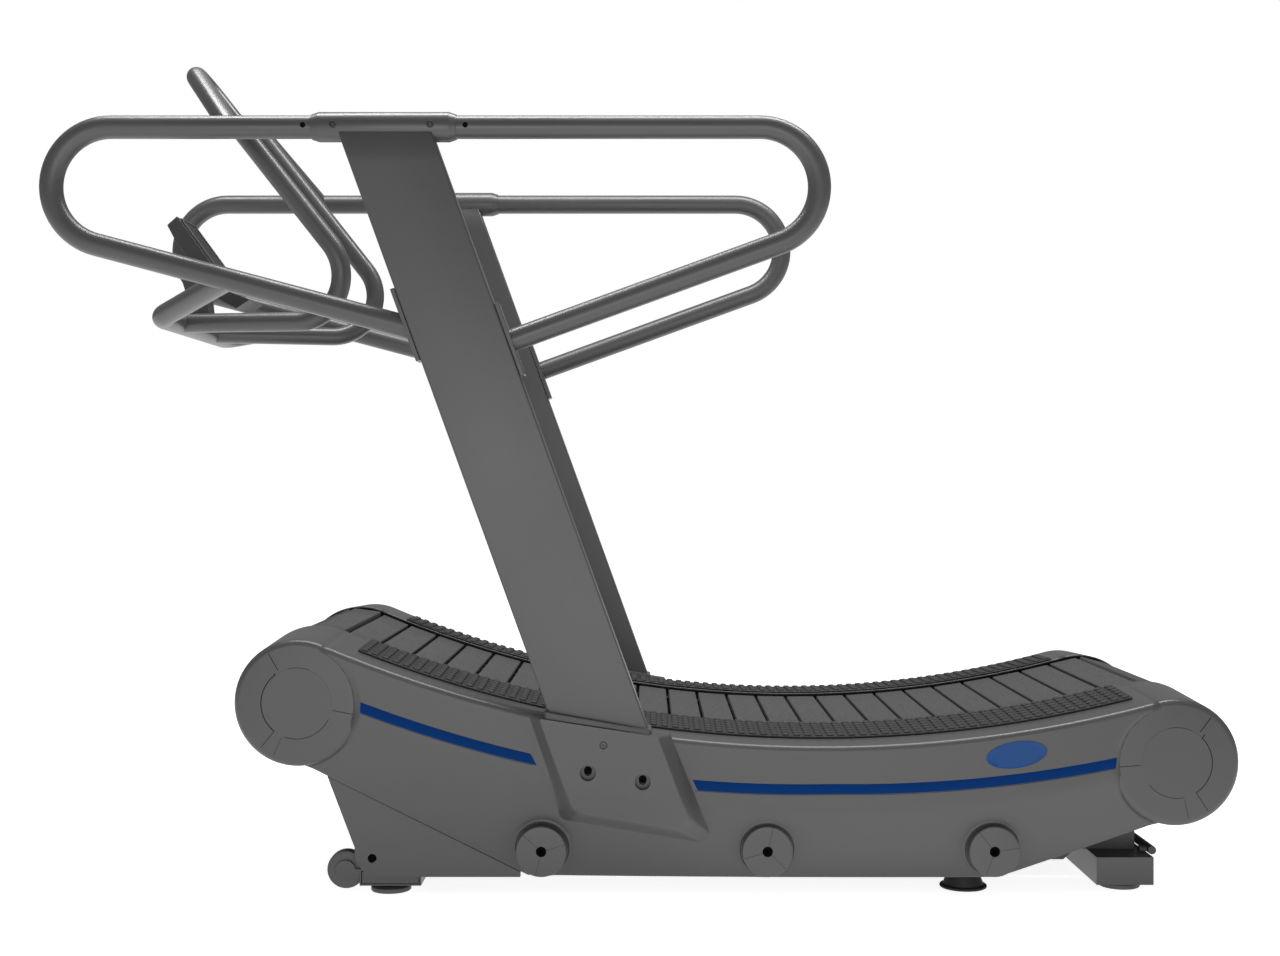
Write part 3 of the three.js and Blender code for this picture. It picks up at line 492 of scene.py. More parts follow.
def face_depth(points):
    """How far the shell's outer face lies from the middle: flat down to the crease, then falling in
    by the tilt times the distance past it, with a soft bend between."""
    past = np.hypot(points[..., 0] - DISH[0], points[..., 1] - DISH[1]) - DISH_R - CREASE
    soft = 9.0
    fall = np.where(past > soft, past, np.where(past < -soft, 0, (past + soft) ** 2 / (4 * soft)))
    return SHELL_OUT - SHELL_TILT * fall


def coons(top, bottom, left, right, shares):
    """A patch between four edges: the blend of top and bottom by v plus that of left and right by u,
    less the blend of the four corners."""
    u = np.linspace(0, 1, len(top))[None, :, None]
    v = np.asarray(shares)[:, None, None]
    edges = (1 - v) * top[None] + v * bottom[None] + (1 - u) * left[:, None] + u * right[:, None]
    corners = (1 - u) * (1 - v) * top[0] + u * (1 - v) * top[-1] + (1 - u) * v * bottom[0]
    return edges - corners - u * v * bottom[-1]


def crossing_turn(drum, radius, offset, rear):
    """Angle about a drum at which a circle about it meets the dish's circle at an offset."""
    reach, gap = DISH_R - offset, math.dist(drum, DISH)
    towards = bearing(drum, DISH)
    open_angle = math.acos((radius**2 + gap**2 - reach**2) / (2 * radius * gap))
    return towards + open_angle if rear else towards - open_angle


def polyline(corners, counts):
    """Points along straight runs, with a given number of steps in each."""
    runs = [
        a + (b - a) * np.linspace(0, 1, n, endpoint=False)[:, None]
        for a, b, n in zip(corners[:-1], corners[1:], counts, strict=True)
    ]
    return np.concatenate([*runs, corners[-1:]])


def shell_face():
    """The skin between the two drums: the sloping top strip, a quarter-round edge, the flat face, the
    tilted face under the crease and the flange along the bottom."""
    flat = DRUM_R - SHELL_EDGE
    floor = np.array([[-606.4, 243.1], [-202, 38], [656, 36], [945.0, 138.4]])
    counts = (24, 44, 17)
    columns = sum(counts) + 1
    bottom = polyline(floor + [0, 2.0], counts)
    share = np.linspace(0, 1, columns)
    turns = turn_at(DRUM["front"][0], -DRUM_R), turn_at(DRUM["rear"][0], -DRUM_R)
    turn = turns[0] + (turns[1] - turns[0]) * share
    rows = []
    for y in np.linspace(SHELL_IN, SHELL_OUT - SHELL_EDGE, 6):
        lift = SHELL_LIFT * (SHELL_OUT - SHELL_EDGE - y) / 219.0
        rows.append((dish_point(turn, lift), y))
    for a in np.radians(np.linspace(12, 90, 7)):
        drop = -SHELL_EDGE * (1 - math.cos(a))
        rows.append((dish_point(turn, drop), SHELL_OUT - SHELL_EDGE * (1 - math.sin(a))))
    top = dish_point(turn, -SHELL_EDGE)
    ends = {}
    for end, rear in (("front", False), ("rear", True)):
        drum = DRUM[end]
        crease = crossing_turn(drum, flat, -CREASE, rear)
        start = bearing(drum, DISH)
        stop = bearing(drum, floor[-1 if rear else 0])
        stop += 2 * math.pi if rear and stop < 0 else 0
        ends[end] = (drum, start, crease, stop)

    def on_drum(end, a, radius):
        return np.stack([DRUM[end][0] + radius * np.cos(a), DRUM[end][1] + radius * np.sin(a)], -1)

    upper = np.array([0, 0.14, 0.28, 0.42, 0.56, 0.7, 0.8, 0.88, 0.92, 0.96, 1])
    lower = np.array([0, 0.03, 0.06, 0.1, 0.18, 0.28, 0.38, 0.48, 0.58, 0.68, 0.78, 0.88, 0.95, 1])
    sides = {}
    for end, (drum, start, crease, stop) in ends.items():
        swell = flat + (DRUM_R - flat) * lower**2
        sides[end] = (
            on_drum(end, start + (crease - start) * upper, flat),
            on_drum(end, crease + (stop - crease) * lower, swell),
        )
    crease_turn = [
        math.asin((sides[end][0][-1, 0] - DISH[0]) / (DISH_R + CREASE)) for end in ("front", "rear")
    ]
    middle = dish_point(crease_turn[0] + (crease_turn[1] - crease_turn[0]) * share, -CREASE)
    bottom[0], bottom[-1] = sides["front"][1][-1], sides["rear"][1][-1]
    upper_face = coons(top, middle, sides["front"][0], sides["rear"][0], upper)
    lower_face = coons(middle, bottom, sides["front"][1], sides["rear"][1], lower)
    rows += [(line, face_depth(line)) for line in upper_face[1:]]
    rows += [(line, face_depth(line)) for line in lower_face[1:]]
    edge = bottom - [0, 2.0]
    rows += [(edge, face_depth(bottom) - 2.0), (edge, 360.0), (edge, FLANGE_IN)]
    points = np.stack(
        [np.column_stack([xz[:, 0], -np.broadcast_to(y, len(xz)), xz[:, 1]]) for xz, y in rows]
    )
    return Surface().grid(points, closed=False)


def drum_end(end):
    """A round end over a drum: a flat disc, a quarter-round rim and a skirt. On the free side the skirt
    runs in to the belt and swells by the top strip's lift; under the shell it is short."""
    drum, rear = DRUM[end], end == "rear"
    start = bearing(drum, DISH)
    floor = (945.0, 138.4) if rear else (-606.4, 243.1)
    stop = bearing(drum, floor)
    if rear:
        free_span = start - stop
        a = start - np.concatenate(
            [np.linspace(0, free_span, 73), np.linspace(free_span, 2 * np.pi, 50)[1:-1]]
        )
    else:
        free_span = 2 * np.pi - start + stop
        a = start + np.concatenate(
            [np.linspace(0, free_span, 73), np.linspace(free_span, 2 * np.pi, 50)[1:-1]]
        )
    free = np.arange(len(a)) < 73
    fade = np.clip(np.sin(a) + 1, 0, 1)
    rim = np.radians(np.linspace(0, 90, 9))
    radii = [np.full(len(a), DRUM_R - SHELL_EDGE * (1 - math.sin(t))) for t in rim]
    depths = [np.full(len(a), SHELL_OUT - SHELL_EDGE * (1 - math.cos(t))) for t in rim]
    edge = SHELL_OUT - SHELL_EDGE
    for share in np.linspace(0, 1, 6)[1:]:
        depth = edge - share * np.where(free, edge - SHELL_IN, 45.0)
        lift = np.where(free, SHELL_LIFT * (edge - depth) / 219.0 * fade, 0.0)
        radii.append(DRUM_R + lift)
        depths.append(depth)
    radii, depths = np.stack(radii), np.stack(depths)
    points = np.stack([drum[0] + radii * np.cos(a), -depths, drum[1] + radii * np.sin(a)], -1)
    if rear:
        points = points[:, ::-1]
    surface = Surface()
    faces = [grid_faces(*points.shape[:2], False, True)[:, ::-1], np.arange(len(a))[None]]
    return surface.add(points, faces, closed=False)


def faces_out(surface, towards=(0, -1, 0)):
    """Turns an open skin so that the mean of its face normals looks towards a direction."""
    points, faces = surface.merged()
    total = np.zeros(3)
    for face in faces:
        a, b, c = points[face[:, 0]], points[face[:, 1]], points[face[:, 2]]
        total += np.cross(b - a, c - a).sum(0)
    if total @ np.array(towards) < 0:
        surface.faces = [f[:, ::-1] for f in faces]
    return surface


def loft_pad(height=PAD_RISE):
    """The raised pad that the upright's foot stands behind. Rings run from its wide base to its top
    outline with a soft shoulder, then shrink to the middle; each point is the shell's own face plus
    the ring's height."""
    top = np.array([[-176, 334], [-130, 207], [-113, 169], [64, 137], [90, 152], [35, 301]], float)
    base = np.array([[-199, 338], [-156, 213], [-142, 145], [117, 102], [134, 116], [58, 301]], float)
    top = rounded(top, [6, 60, 12, 12, 12, 6], 6)
    base = rounded(base, [6, 60, 16, 5, 5, 6], 6)
    between = 7

    def dense(loop):
        t = np.linspace(0, 1, between, endpoint=False)[None, :, None]
        return (loop[:, None] * (1 - t) + np.roll(loop, -1, 0)[:, None] * t).reshape(-1, 2)

    top, base = dense(top), dense(base)
    rings = [(base, -34.0), (base, -6.0)]
    for share, rise in ((0.0, 0.0), (0.04, 0.012), (0.1, 0.06), (0.5, 0.48), (0.86, 0.9),
                        (0.93, 0.96), (0.97, 0.985), (1.0, 0.996)):
        rings.append((base + (top - base) * share, height * rise))
    middle = top.mean(0)
    for shrink in np.concatenate([[0.985], np.linspace(0.94, 0.06, 15)]):
        rings.append((middle + (top - middle) * shrink, height))
    points = np.stack(
        [np.column_stack([xz[:, 0], -(face_depth(xz) + out), xz[:, 1]]) for xz, out in rings]
    )
    return Surface().loft(points)


def bored(piece, tool):
    """Cuts a tool from a piece and leaves the result as the piece's own mesh."""
    cutter = bpy.data.objects.new("cutter", tool)
    bpy.context.scene.collection.objects.link(cutter)
    modifier = piece.modifiers.new("bores", "BOOLEAN")
    modifier.operation, modifier.solver, modifier.object = "DIFFERENCE", "EXACT", cutter
    bpy.context.view_layer.update()
    shape = piece.evaluated_get(bpy.context.evaluated_depsgraph_get())
    mesh = bpy.data.meshes.new_from_object(shape)
    piece.modifiers.clear()
    piece.data = mesh
    bpy.data.objects.remove(cutter)
    mesh.set_sharp_from_angle(angle=math.radians(28))
    return piece


def socket_head(x, z, face, radius=6.5, height=4.0, hole=3.0, sides=32):
    """A cap screw's head: a rim with a soft edge and a round recess, standing on a face."""
    profile = [(0, face - 3), (radius, face - 3), (radius, face + height - 1)]
    profile += [(radius - 0.4, face + height - 0.3), (radius - 1.2, face + height)]
    profile += [(hole + 0.3, face + height), (hole, face + height - 0.4), (hole, face + height - 2.6)]
    profile += [(0, face + height - 2.6)]
    return turned(profile, (x, 0, z), 1, sides, -1.0)


# ------------------------------------------------------------------ trim


def seam_line(path, depth, width=0.9):
    """A fine dark line on a face: a flat ribbon of four corners carried along points of X and Z."""
    path = np.asarray(path, float)
    run = np.gradient(path, axis=0)
    run /= np.linalg.norm(run, axis=1)[:, None]
    across = np.stack([-run[:, 1], run[:, 0]], 1) * width / 2
    depth = np.broadcast_to(depth, len(path))
    a, b = path - across, path + across
    rings = [(a, 0.12), (b, 0.12), (b, -0.6), (a, -0.6)]
    points = np.stack([np.column_stack([p[:, 0], -(depth + out), p[:, 1]]) for p, out in rings], 1)
    return Surface().loft(points)


def drum_arc(end, start, stop, radius):
    """Points of an arc about a drum, in degrees."""
    a = np.radians(np.linspace(start, stop, max(2, int(abs(stop - start) / 3)) + 1))
    return np.stack([DRUM[end][0] + radius * np.cos(a), DRUM[end][1] + radius * np.sin(a)], 1)


def drum_spoke(end, angle, near, far):
    """A short radial line about a drum, at an angle in degrees."""
    a = math.radians(angle)
    reach = np.linspace(near, far, 4)
    return np.stack([DRUM[end][0] + reach * math.cos(a), DRUM[end][1] + reach * math.sin(a)], 1)


def band_on_face(x0, x1, tops, width, proud, slant=(0.0, 0.0)):
    """A thin band on the shell's face between two X positions, its top edge at distances from the
    dish's centre that are interpolated along X, its ends leaning by a slant."""
    x = np.linspace(x0, x1, 90)
    top = np.interp(x, tops[0], tops[1])
    lean = np.interp(x, [x0, x1], slant)
    rows = []
    for share, out in ((0.0, -1.0), (0.0, proud - 0.15), (0.03, proud), (0.97, proud),
                       (1.0, proud - 0.15), (1.0, -1.0)):
        reach = top + width * share
        shifted = x + lean * share
        turn = np.arcsin((shifted - DISH[0]) / reach)
        z = DISH[1] - reach * np.cos(turn)
        rows.append(np.column_stack([shifted, np.full(len(x), -(SHELL_OUT + out)), z]))
    return Surface().loft(np.stack(rows, 1))


# ------------------------------------------------------------------ running belt


def belt_loop(offset, steps=1200):
    """The belt's closed line at an offset, as points of X and Z and their headings: dish, rear drum,
    lower run and front drum, each a circular arc, sampled at equal distances."""
    drums = np.array([DRUM["front"], DRUM["rear"]])
    to_dish = [bearing(DISH, d) for d in drums]
    to_under = [bearing(UNDER, d) for d in drums]
    runs = [
        (DISH, DISH_R - offset, to_dish[0], to_dish[1]),
        (drums[1], DRUM_R + offset, to_dish[1] + math.pi, to_under[1]),
        (UNDER, UNDER_R + offset, to_under[1], to_under[0]),
        (drums[0], DRUM_R + offset, to_under[0] + 2 * math.pi, to_dish[0] + math.pi),
    ]
    parts = []
    for centre, radius, start, stop in runs:
        a = np.linspace(start, stop, 400)
        parts.append(np.stack([centre[0] + radius * np.cos(a), centre[1] + radius * np.sin(a)], 1))
    line = np.concatenate(parts)
    gone = np.concatenate([[0], np.cumsum(np.linalg.norm(np.diff(line, axis=0), axis=1))])
    at = np.linspace(0, gone[-1], steps, endpoint=False)
    return np.stack([np.interp(at, gone, line[:, 0]), np.interp(at, gone, line[:, 1])], 1)


def belt_slats(count, length, half_width, height, proud, rounding):
    """Every slat at once: a rounded section in the belt's plane, carried across the belt with its ends
    drawn in a little, placed by its middle and turned to its heading."""
    steps = count * 20
    line = belt_loop(proud - height / 2, steps)
    centre = line[11::20]
    ahead, behind = np.roll(line, -8, 0)[11::20], np.roll(line, 8, 0)[11::20]
    heading = (ahead - behind) / np.linalg.norm(ahead - behind, axis=1)[:, None]
    outward = np.stack([-heading[:, 1], heading[:, 0]], 1)
    half = np.array([length, height]) / 2
    corners = np.array([[-half[0], -half[1]], [half[0], -half[1]], [half[0], half[1]], [-half[0], half[1]]])
    section = rounded(corners, [1.0, 1.0, rounding, rounding], 4)
    near_end = half_width - 1.5
    stations = np.array([[-half_width, 0.93], [-near_end, 1.0], [near_end, 1.0], [half_width, 0.93]])
    scaled = section[None, None] * np.stack([np.ones(4), stations[:, 1]], 1)[None, :, None]
    xz = (
        centre[:, None, None]
        + heading[:, None, None] * scaled[..., :1]
        + outward[:, None, None] * scaled[..., 1:]
    )
    y = np.broadcast_to(stations[None, :, :1], xz.shape[:3])
    points = np.stack([xz[..., 0], y, xz[..., 1]], -1)
    surface = Surface()
    for slat in points:
        surface.loft(slat)
    return surface


def belt_ribbon(near, width, top, thickness):
    """A closed band that carries the slats, four corners carried round the loop."""
    outer, inner = belt_loop(top, 600), belt_loop(top - thickness, 600)
    rings = [(outer, near), (outer, near + width), (inner, near + width), (inner, near)]
    points = np.stack([np.column_stack([p[:, 0], np.full(len(p), -y), p[:, 1]]) for p, y in rings], 1)
    return Surface().grid(points, wrap=(True, True))


# ------------------------------------------------------------------ settings


def colour(label, value, text):
    return FloatVectorProperty(
        name=label, description=text, default=value, subtype="COLOR", size=3, min=0.0, max=1.0
    )


def length(label, value, text):
    return FloatProperty(
        name=label, description=text, default=value * MM, subtype="DISTANCE", unit="LENGTH", min=0.0
    )


class TreadmillLook(PropertyGroup):
    """Colours of the machine's finishes."""

    paint: colour("Grey paint", (0.05, 0.05, 0.051), "Powder coat of the rails, posts and foot beams")
    dark_paint: colour("Dark paint", (0.03, 0.03, 0.033), "Powder coat of the inner frame")
    shell: colour("Shell", (0.05, 0.05, 0.051), "Moulded side shells and caps")
    slat: colour("Slats", (0.056, 0.056, 0.057), "Rubber face of the belt's slats")
    tread: colour("Tread", (0.036, 0.036, 0.037), "Rubber strips with raised pads")
    rubber: colour("Black rubber", (0.01, 0.01, 0.01), "Middle feet and buttons")
    grey_rubber: colour("Grey rubber", (0.052, 0.052, 0.053), "Transport wheels and end feet")
    console: colour("Console", (0.022, 0.022, 0.023), "Moulded housing of the console")
    screen: colour("Screen", (0.006, 0.007, 0.009), "Gloss panel of the console")
    stripe: colour("Stripe", (0.0, 0.02, 0.1), "Blue band along each shell")
    badge: colour("Badge", (0.008, 0.045, 0.155), "Blank oval badge on each shell")
    steel: colour("Steel", (0.42, 0.42, 0.43), "Axles, rollers and bearings")


class TreadmillSizes(PropertyGroup):
    """Sizes of the details that are added to the frame."""

    shell_wall: length("Shell wall", 3.5, "Thickness of the moulded side shells")
    stripe_width: length("Stripe width", 18.0, "Height of the blue band")
    pad_length: length("Pad length", 12.5, "Length of a raised tread pad along the belt")
    pad_width: length("Pad width", 15.5, "Width of a raised tread pad across the strip")
    pad_height: length("Pad height", 3.0, "Height of a raised tread pad")
    slat_rounding: length("Slat rounding", 3.0, "Rounding of a slat's long edges")
    post_rounding: length("Post rounding", 4.0, "Corner rounding of the uprights")
    tube_sides: IntProperty(
        name="Tube sides", description="Flat sides round each tube", default=40, min=12, max=96
    )


class TreadmillStage(PropertyGroup):
    """Floor, surroundings and lights."""

    floor: colour("Floor", (0.86, 0.86, 0.86), "Plain pale floor")
    surround: FloatProperty(
        name="Surround", description="Strength of the white surroundings", default=0.3, min=0.0
    )
    floor_glow: FloatProperty(
        name="Floor glow", description="Light that the pale floor gives off", default=0.85, min=0.0
    )
    top_light: FloatProperty(
        name="Top light", description="Power of the overhead panel", default=165.0, min=0.0, unit="POWER"
    )
    front_light: FloatProperty(
        name="Front light", description="Power of the front panel", default=46.0, min=0.0, unit="POWER"
    )


def mm(value):
    """A length setting in millimetres."""
    return value / MM


# ------------------------------------------------------------------ operators


class TREADMILL_OT_stage(Operator):
    """Floor, white surroundings, soft panels of light and the camera"""

    bl_idname = "treadmill.stage"
    bl_label = "Stage"

    def execute(self, context):
        stage = context.scene.treadmill_stage
        scene = context.scene
        scene.view_settings.view_transform = "Standard"
        scene.view_settings.look = "None"
        make_finishes(scene.treadmill_look)
        floor_finish, shader = new_finish("floor", stage.floor, 0.9, specular=0.2)
        drift = grain(floor_finish, 2.0, detail=2.0)
        tone = np.array(stage.floor)
        tinted(floor_finish, shader, drift, tone * 0.995, np.minimum(tone * 1.005, 1))
        shader.inputs["Emission Color"].default_value = (1, 1, 1, 1)
        shader.inputs["Emission Strength"].default_value = stage.floor_glow
        points = np.array([[-30, -30, 0], [30, -30, 0], [30, 30, 0], [-30, 30, 0]], float)
        floor = bpy.data.objects.new("floor", put_mesh("floor", points, [np.arange(4)[None]]))
        floor.data.materials.append(floor_finish)
        scene.collection.objects.link(floor)
        self.surroundings(scene, stage.surround)
        self.panel(scene, "top_panel", (0, 0.1, 3.4), (0, 0, 0), (3.6, 0.6), stage.top_light)
        self.panel(scene, "front_panel", (0, -4.2, 0.75), (90, 0, 0), (3.4, 1.3), stage.front_light)
        lens = bpy.data.cameras.new("camera")
        lens.lens, lens.sensor_width = 46.4, 36.0
        lens.shift_x, lens.shift_y = -6 / 1280, 2 / 1280
        camera = bpy.data.objects.new("camera", lens)
        camera.location = (0.0092, -3.4086, 0.76)
        camera.rotation_euler = (math.pi / 2, 0, 0)
        scene.collection.objects.link(camera)
        scene.camera = camera
        return {"FINISHED"}

    def surroundings(self, scene, strength):
        """Plain white all round: full white behind the object, and softer as light."""
        world = bpy.data.worlds.new("surroundings")
        world.use_nodes = True
        nodes, links = world.node_tree.nodes, world.node_tree.links
        seen, cast = nodes["Background"], nodes.new("ShaderNodeBackground")
        seen.inputs["Color"].default_value = (1, 1, 1, 1)
        cast.inputs["Color"].default_value = (1, 1, 1, 1)
        cast.inputs["Strength"].default_value = strength
        path, mix = nodes.new("ShaderNodeLightPath"), nodes.new("ShaderNodeMixShader")
        links.new(path.outputs["Is Camera Ray"], mix.inputs["Fac"])
        links.new(cast.outputs["Background"], mix.inputs[1])
        links.new(seen.outputs["Background"], mix.inputs[2])
        links.new(mix.outputs["Shader"], nodes["World Output"].inputs["Surface"])
        scene.world = world

    def panel(self, scene, name, place, turn, size, power):
        """One rectangular panel of soft light."""
        light = bpy.data.lights.new(name, "AREA")
        light.shape, light.size, light.size_y = "RECTANGLE", *size
        light.energy = power
        lamp = bpy.data.objects.new(name, light)
        lamp.location = place
        lamp.rotation_euler = [math.radians(a) for a in turn]
        scene.collection.objects.link(lamp)


class TREADMILL_OT_inner_frame(Operator):
    """Paint and steel on the frame, rollers and bearings that the shells cover"""

    bl_idname = "treadmill.inner_frame"
    bl_label = "Inner Frame"

    def execute(self, context):
        slots = {row["node"]: row["material_slot"] for row in frame["record"]["subparts"]}
        for name, node in frame["nodes"].items():
            node.data.materials.clear()
            node.data.materials.append(FINISHES[slots[name]])
        return {"FINISHED"}


class TREADMILL_OT_side_shells(Operator):
    """The moulded side shells, their round ends over the drums and the pads at the posts"""

    bl_idname = "treadmill.side_shells"
    bl_label = "Side Shells"

    def execute(self, context):
        wall = mm(context.scene.treadmill_sizes.shell_wall)

        def give_wall(piece):
            thicken(piece, wall)

        pair(faces_out(shell_face()), "shell_skin", "shell_plastic", "shell_plastic",
             ["side_shell"], give_wall, sharp=40)
        for end in DRUM:
            pair(faces_out(drum_end(end)), f"shell_end_{end}", "shell_plastic", "shell_plastic",
                 modify=give_wall, sharp=40)
        bores = Surface()
        for x, z, wide, deep, narrow in ((-90, 237, 13.7, 12, 7.0), (8, 221, 13.7, 12, 7.0),
                                         (-62, 287, 6.8, 3.5, 3.0)):
            face = SHELL_OUT + PAD_RISE
            profile = [(0, face + 5), (wide + 0.8, face + 5), (wide + 0.8, face), (wide, face - 0.8),
                       (wide, face - deep), (narrow, face - deep), (narrow, face - deep - 22),
                       (0, face - deep - 22)]
            bores.add(*turned(profile, (x, 0, z), 1, 40, -1.0))
        for side, flip in SIDES.items():
            pad = piece_from(loft_pad(), f"post_pad_{side}", "shell_plastic", "shell_plastic", flip,
                             sharp=28)
            points, faces = bores.merged()
            points = (points + [ORIGIN_X, 0, 0]) * [MM, flip * MM, MM]
            if flip < 0:
                faces = [f[:, ::-1] for f in faces]
            bored(pad, put_mesh("bores", points, faces))
        self.pad_screws()
        return {"FINISHED"}

    def pad_screws(self):
        """Near-black discs in the pads' two large bores, painted shade at their floors, and a small screw
        in the third.
        """
        bore_shade_discs = Surface()
        for x, z in PAD_BORES:
            bore_shade_discs.add(*turned([(0, 450), (7.2, 450), (7.2, 454.9), (6.9, 455.1), (0, 455.1)],
                              (x, 0, z + 3.2), 1, 32, -1.0))
        pair(bore_shade_discs, "pad_bore_shade", "hole", "steel")
        small = Surface().add(*socket_head(*PAD_SCREW, SHELL_OUT + 26.0, 5.2, 3.0, 2.2))
        pair(small, "pad_screw", "grey_paint", "grey_paint")


class TREADMILL_OT_trim(Operator):
    """Blue bands, blank badges, fine seams, drum caps and bolt caps"""

    bl_idname = "treadmill.trim"
    bl_label = "Shell Trim"

    def execute(self, context):
        sizes = context.scene.treadmill_sizes
        self.bands(mm(sizes.stripe_width))
        self.badge()
        self.drum_caps()
        self.bolt_caps()
        return {"FINISHED"}

    def bands(self, width):
        """Two blue bands on each shell with a fine groove under them."""
        tops = ([-498, -192, 100, 350, 861], [2400.2, 2402.3, 2402.1, 2398.2, 2409.5])
        pair(band_on_face(-500.5, -194, tops, width, 0.5, (-1.0, 11.0)), "stripe_front",
             "blue_vinyl", "shell_plastic")
        pair(band_on_face(98, 862.5, tops, width, 0.5, (9.0, -2.0)), "stripe_rear",
             "blue_vinyl", "shell_plastic")
        for name, x0, x1 in (("front", -501, -190), ("rear", 102, 861)):
            x = np.linspace(x0, x1, 80)
            reach = np.interp(x, *tops) + width + 1.2
            path = np.column_stack([x, DISH[1] - np.sqrt(reach**2 - (x - DISH[0]) ** 2)])
            pair(seam_line(path, SHELL_OUT, 0.8), f"stripe_seam_{name}", "seam", "shell_plastic")

    def badge(self):
        """A blank oval plate with a raised rim: an ellipse whose rings shrink to its middle."""
        a = np.linspace(0, 2 * np.pi, 72, endpoint=False)
        tilt = math.radians(9)
        surface = Surface()
        rings = []
        for share, out in ((1.0, -1.0), (1.0, 0.6), (0.985, 1.0), (0.955, 1.0), (0.94, 0.65),
                           (0.7, 0.72), (0.35, 0.78)):
            x, z = BADGE_HALF[0] * share * np.cos(a), BADGE_HALF[1] * share * np.sin(a)
            rings.append(np.column_stack([
                BADGE_X + x * math.cos(tilt) - z * math.sin(tilt),
                np.full(72, -(SHELL_OUT + out)),
                BADGE_Z + x * math.sin(tilt) + z * math.cos(tilt),
            ]))
        surface.loft(np.stack(rings))
        pair(surface, "badge", "blue_badge", "shell_plastic")

    def drum_caps(self):
        """A flush round cap over each axle, with the fine seams that part the cover round it."""
        face = SHELL_OUT
        for end, (x, z) in DRUM.items():
            profile = [(0, face - 4), (63.6, face - 4), (63.6, face + 0.1), (63.2, face + 0.3)]
            profile.append((0, face + 0.3))
            pair(Surface().add(*turned(profile, (x, 0, z), 1, 96, -1.0)), f"axle_cap_{end}",
                 "shell_plastic", "shell_plastic", [f"drum_cap_{end}"], sharp=20)
        lines = {
            "front": ([(127, 231, 64.3, 1.5), (251, 333, 64.3, 0.9), (70, 105, 64.3, 0.5)],
                      [(127, 64, 68, 1.2), (119.5, 68, 108, 1.2), (231, 64, 110, 0.9),
                       (246, 68, 110, 0.5), (-11, 66, 114, 0.9)]),
            "rear": ([(-58, 45, 63.8, 1.5), (-141, -78, 63.8, 0.9), (65, 104, 63.8, 0.5)],
                     [(45, 64, 72, 1.2), (53, 70, 108, 1.2), (-57, 64, 110, 0.9),
                      (-78, 68, 110, 0.5), (184, 66, 114, 0.9)]),
        }
        for end, (arcs, spokes) in lines.items():
            seams = Surface()
            for start, stop, radius, width in arcs:
                self.take(seams, seam_line(drum_arc(end, start, stop, radius), SHELL_OUT + 0.25, width))
            for angle, near, far, width in spokes:
                spoke = drum_spoke(end, angle, near, min(far, 102.6))
                self.take(seams, seam_line(spoke, SHELL_OUT + 0.25, width))
            pair(seams, f"cap_seams_{end}", "seam", "shell_plastic")

    def bolt_caps(self):
        """Round caps with a bore, three fine seams and a bolt inside painted near-black as the bore's
        shade, each in a soft boss.
        """
        turns = (-8.0, -68.0, -16.0)
        for place, turn in zip(("front", "middle", "rear"), turns, strict=True):
            low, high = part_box(f"bolt_cap_{place}_left")
            x = (low.x + high.x) / 2 / MM - ORIGIN_X
            z, radius = (low.z + high.z) / 2 / MM, (high.x - low.x) / 2 / MM
            face, back = -low.y / MM, -high.y / MM
            rim = arc(0, 90, 3.0, (radius - 3.0, face - 3.0), 5)
            profile = [(9.2, face - 3.5), (9.2, face - 0.5), (9.7, face), *rim[::-1],
                       (radius, back), (radius - 4, back), (radius - 4, face - 3.5), (9.2, face - 3.5)]
            cap = Surface().add(*turned(profile, (x, 0, z), 1, 96, -1.0))
            pair(cap, f"cap_{place}", "shell_plastic", "shell_plastic", [f"bolt_cap_{place}"], sharp=30)
            seams = Surface()
            for k in range(3):
                a = math.radians(turn + 120 * k + 25)
                reach = np.linspace(9.8, radius - 1.2, 6)
                path = np.stack([x + reach * math.cos(a), z + reach * math.sin(a)], 1)
                self.take(seams, seam_line(path, face, 0.55))
            pair(seams, f"cap_seams_{place}", "seam", "shell_plastic")
            # The bolt takes the near-black hole finish: painted shade in the cap's bore.
            bolt = [(0, face - 16), (8.6, face - 16), (8.6, face - 8), (7.6, face - 7), (4.2, face - 7),
                    (4.0, face - 7.4), (4.0, face - 12), (0, face - 12)]
            pair(Surface().add(*turned(bolt, (x, 0, z), 1, 6, -1.0)), f"cap_bolt_{place}", "hole", "steel")
            self.boss(place, x, z, radius)

    def boss(self, place, x, z, radius):
        """A soft raised ring in the shell's face round a cap: a rounded section on rings of two radii,
        each point set on the face's own depth."""
        a = np.linspace(0, 2 * np.pi, 96, endpoint=False)
        rings = []
        for reach, out in ((1.2, -12), (1.4, -1.0), (2.4, 1.0), (3.6, 1.6), (5.4, 1.3), (8.0, 0.35),
                           (10.0, -0.6), (10.0, -5)):
            xz = np.stack([x + (radius + reach) * np.cos(a), z + (radius + reach) * np.sin(a)], 1)
            low = np.maximum(xz[:, 1], 37.0)
            rings.append(np.column_stack([xz[:, 0], -(face_depth(xz) + out), low]))
        surface = Surface().grid(np.stack(rings), wrap=(True, True))
        pair(surface, f"cap_boss_{place}", "shell_plastic", "shell_plastic")

    def take(self, surface, other):
        """Puts another surface's bodies into a surface."""
        points, faces = other.merged()
        surface.add(points, faces, closed=False)


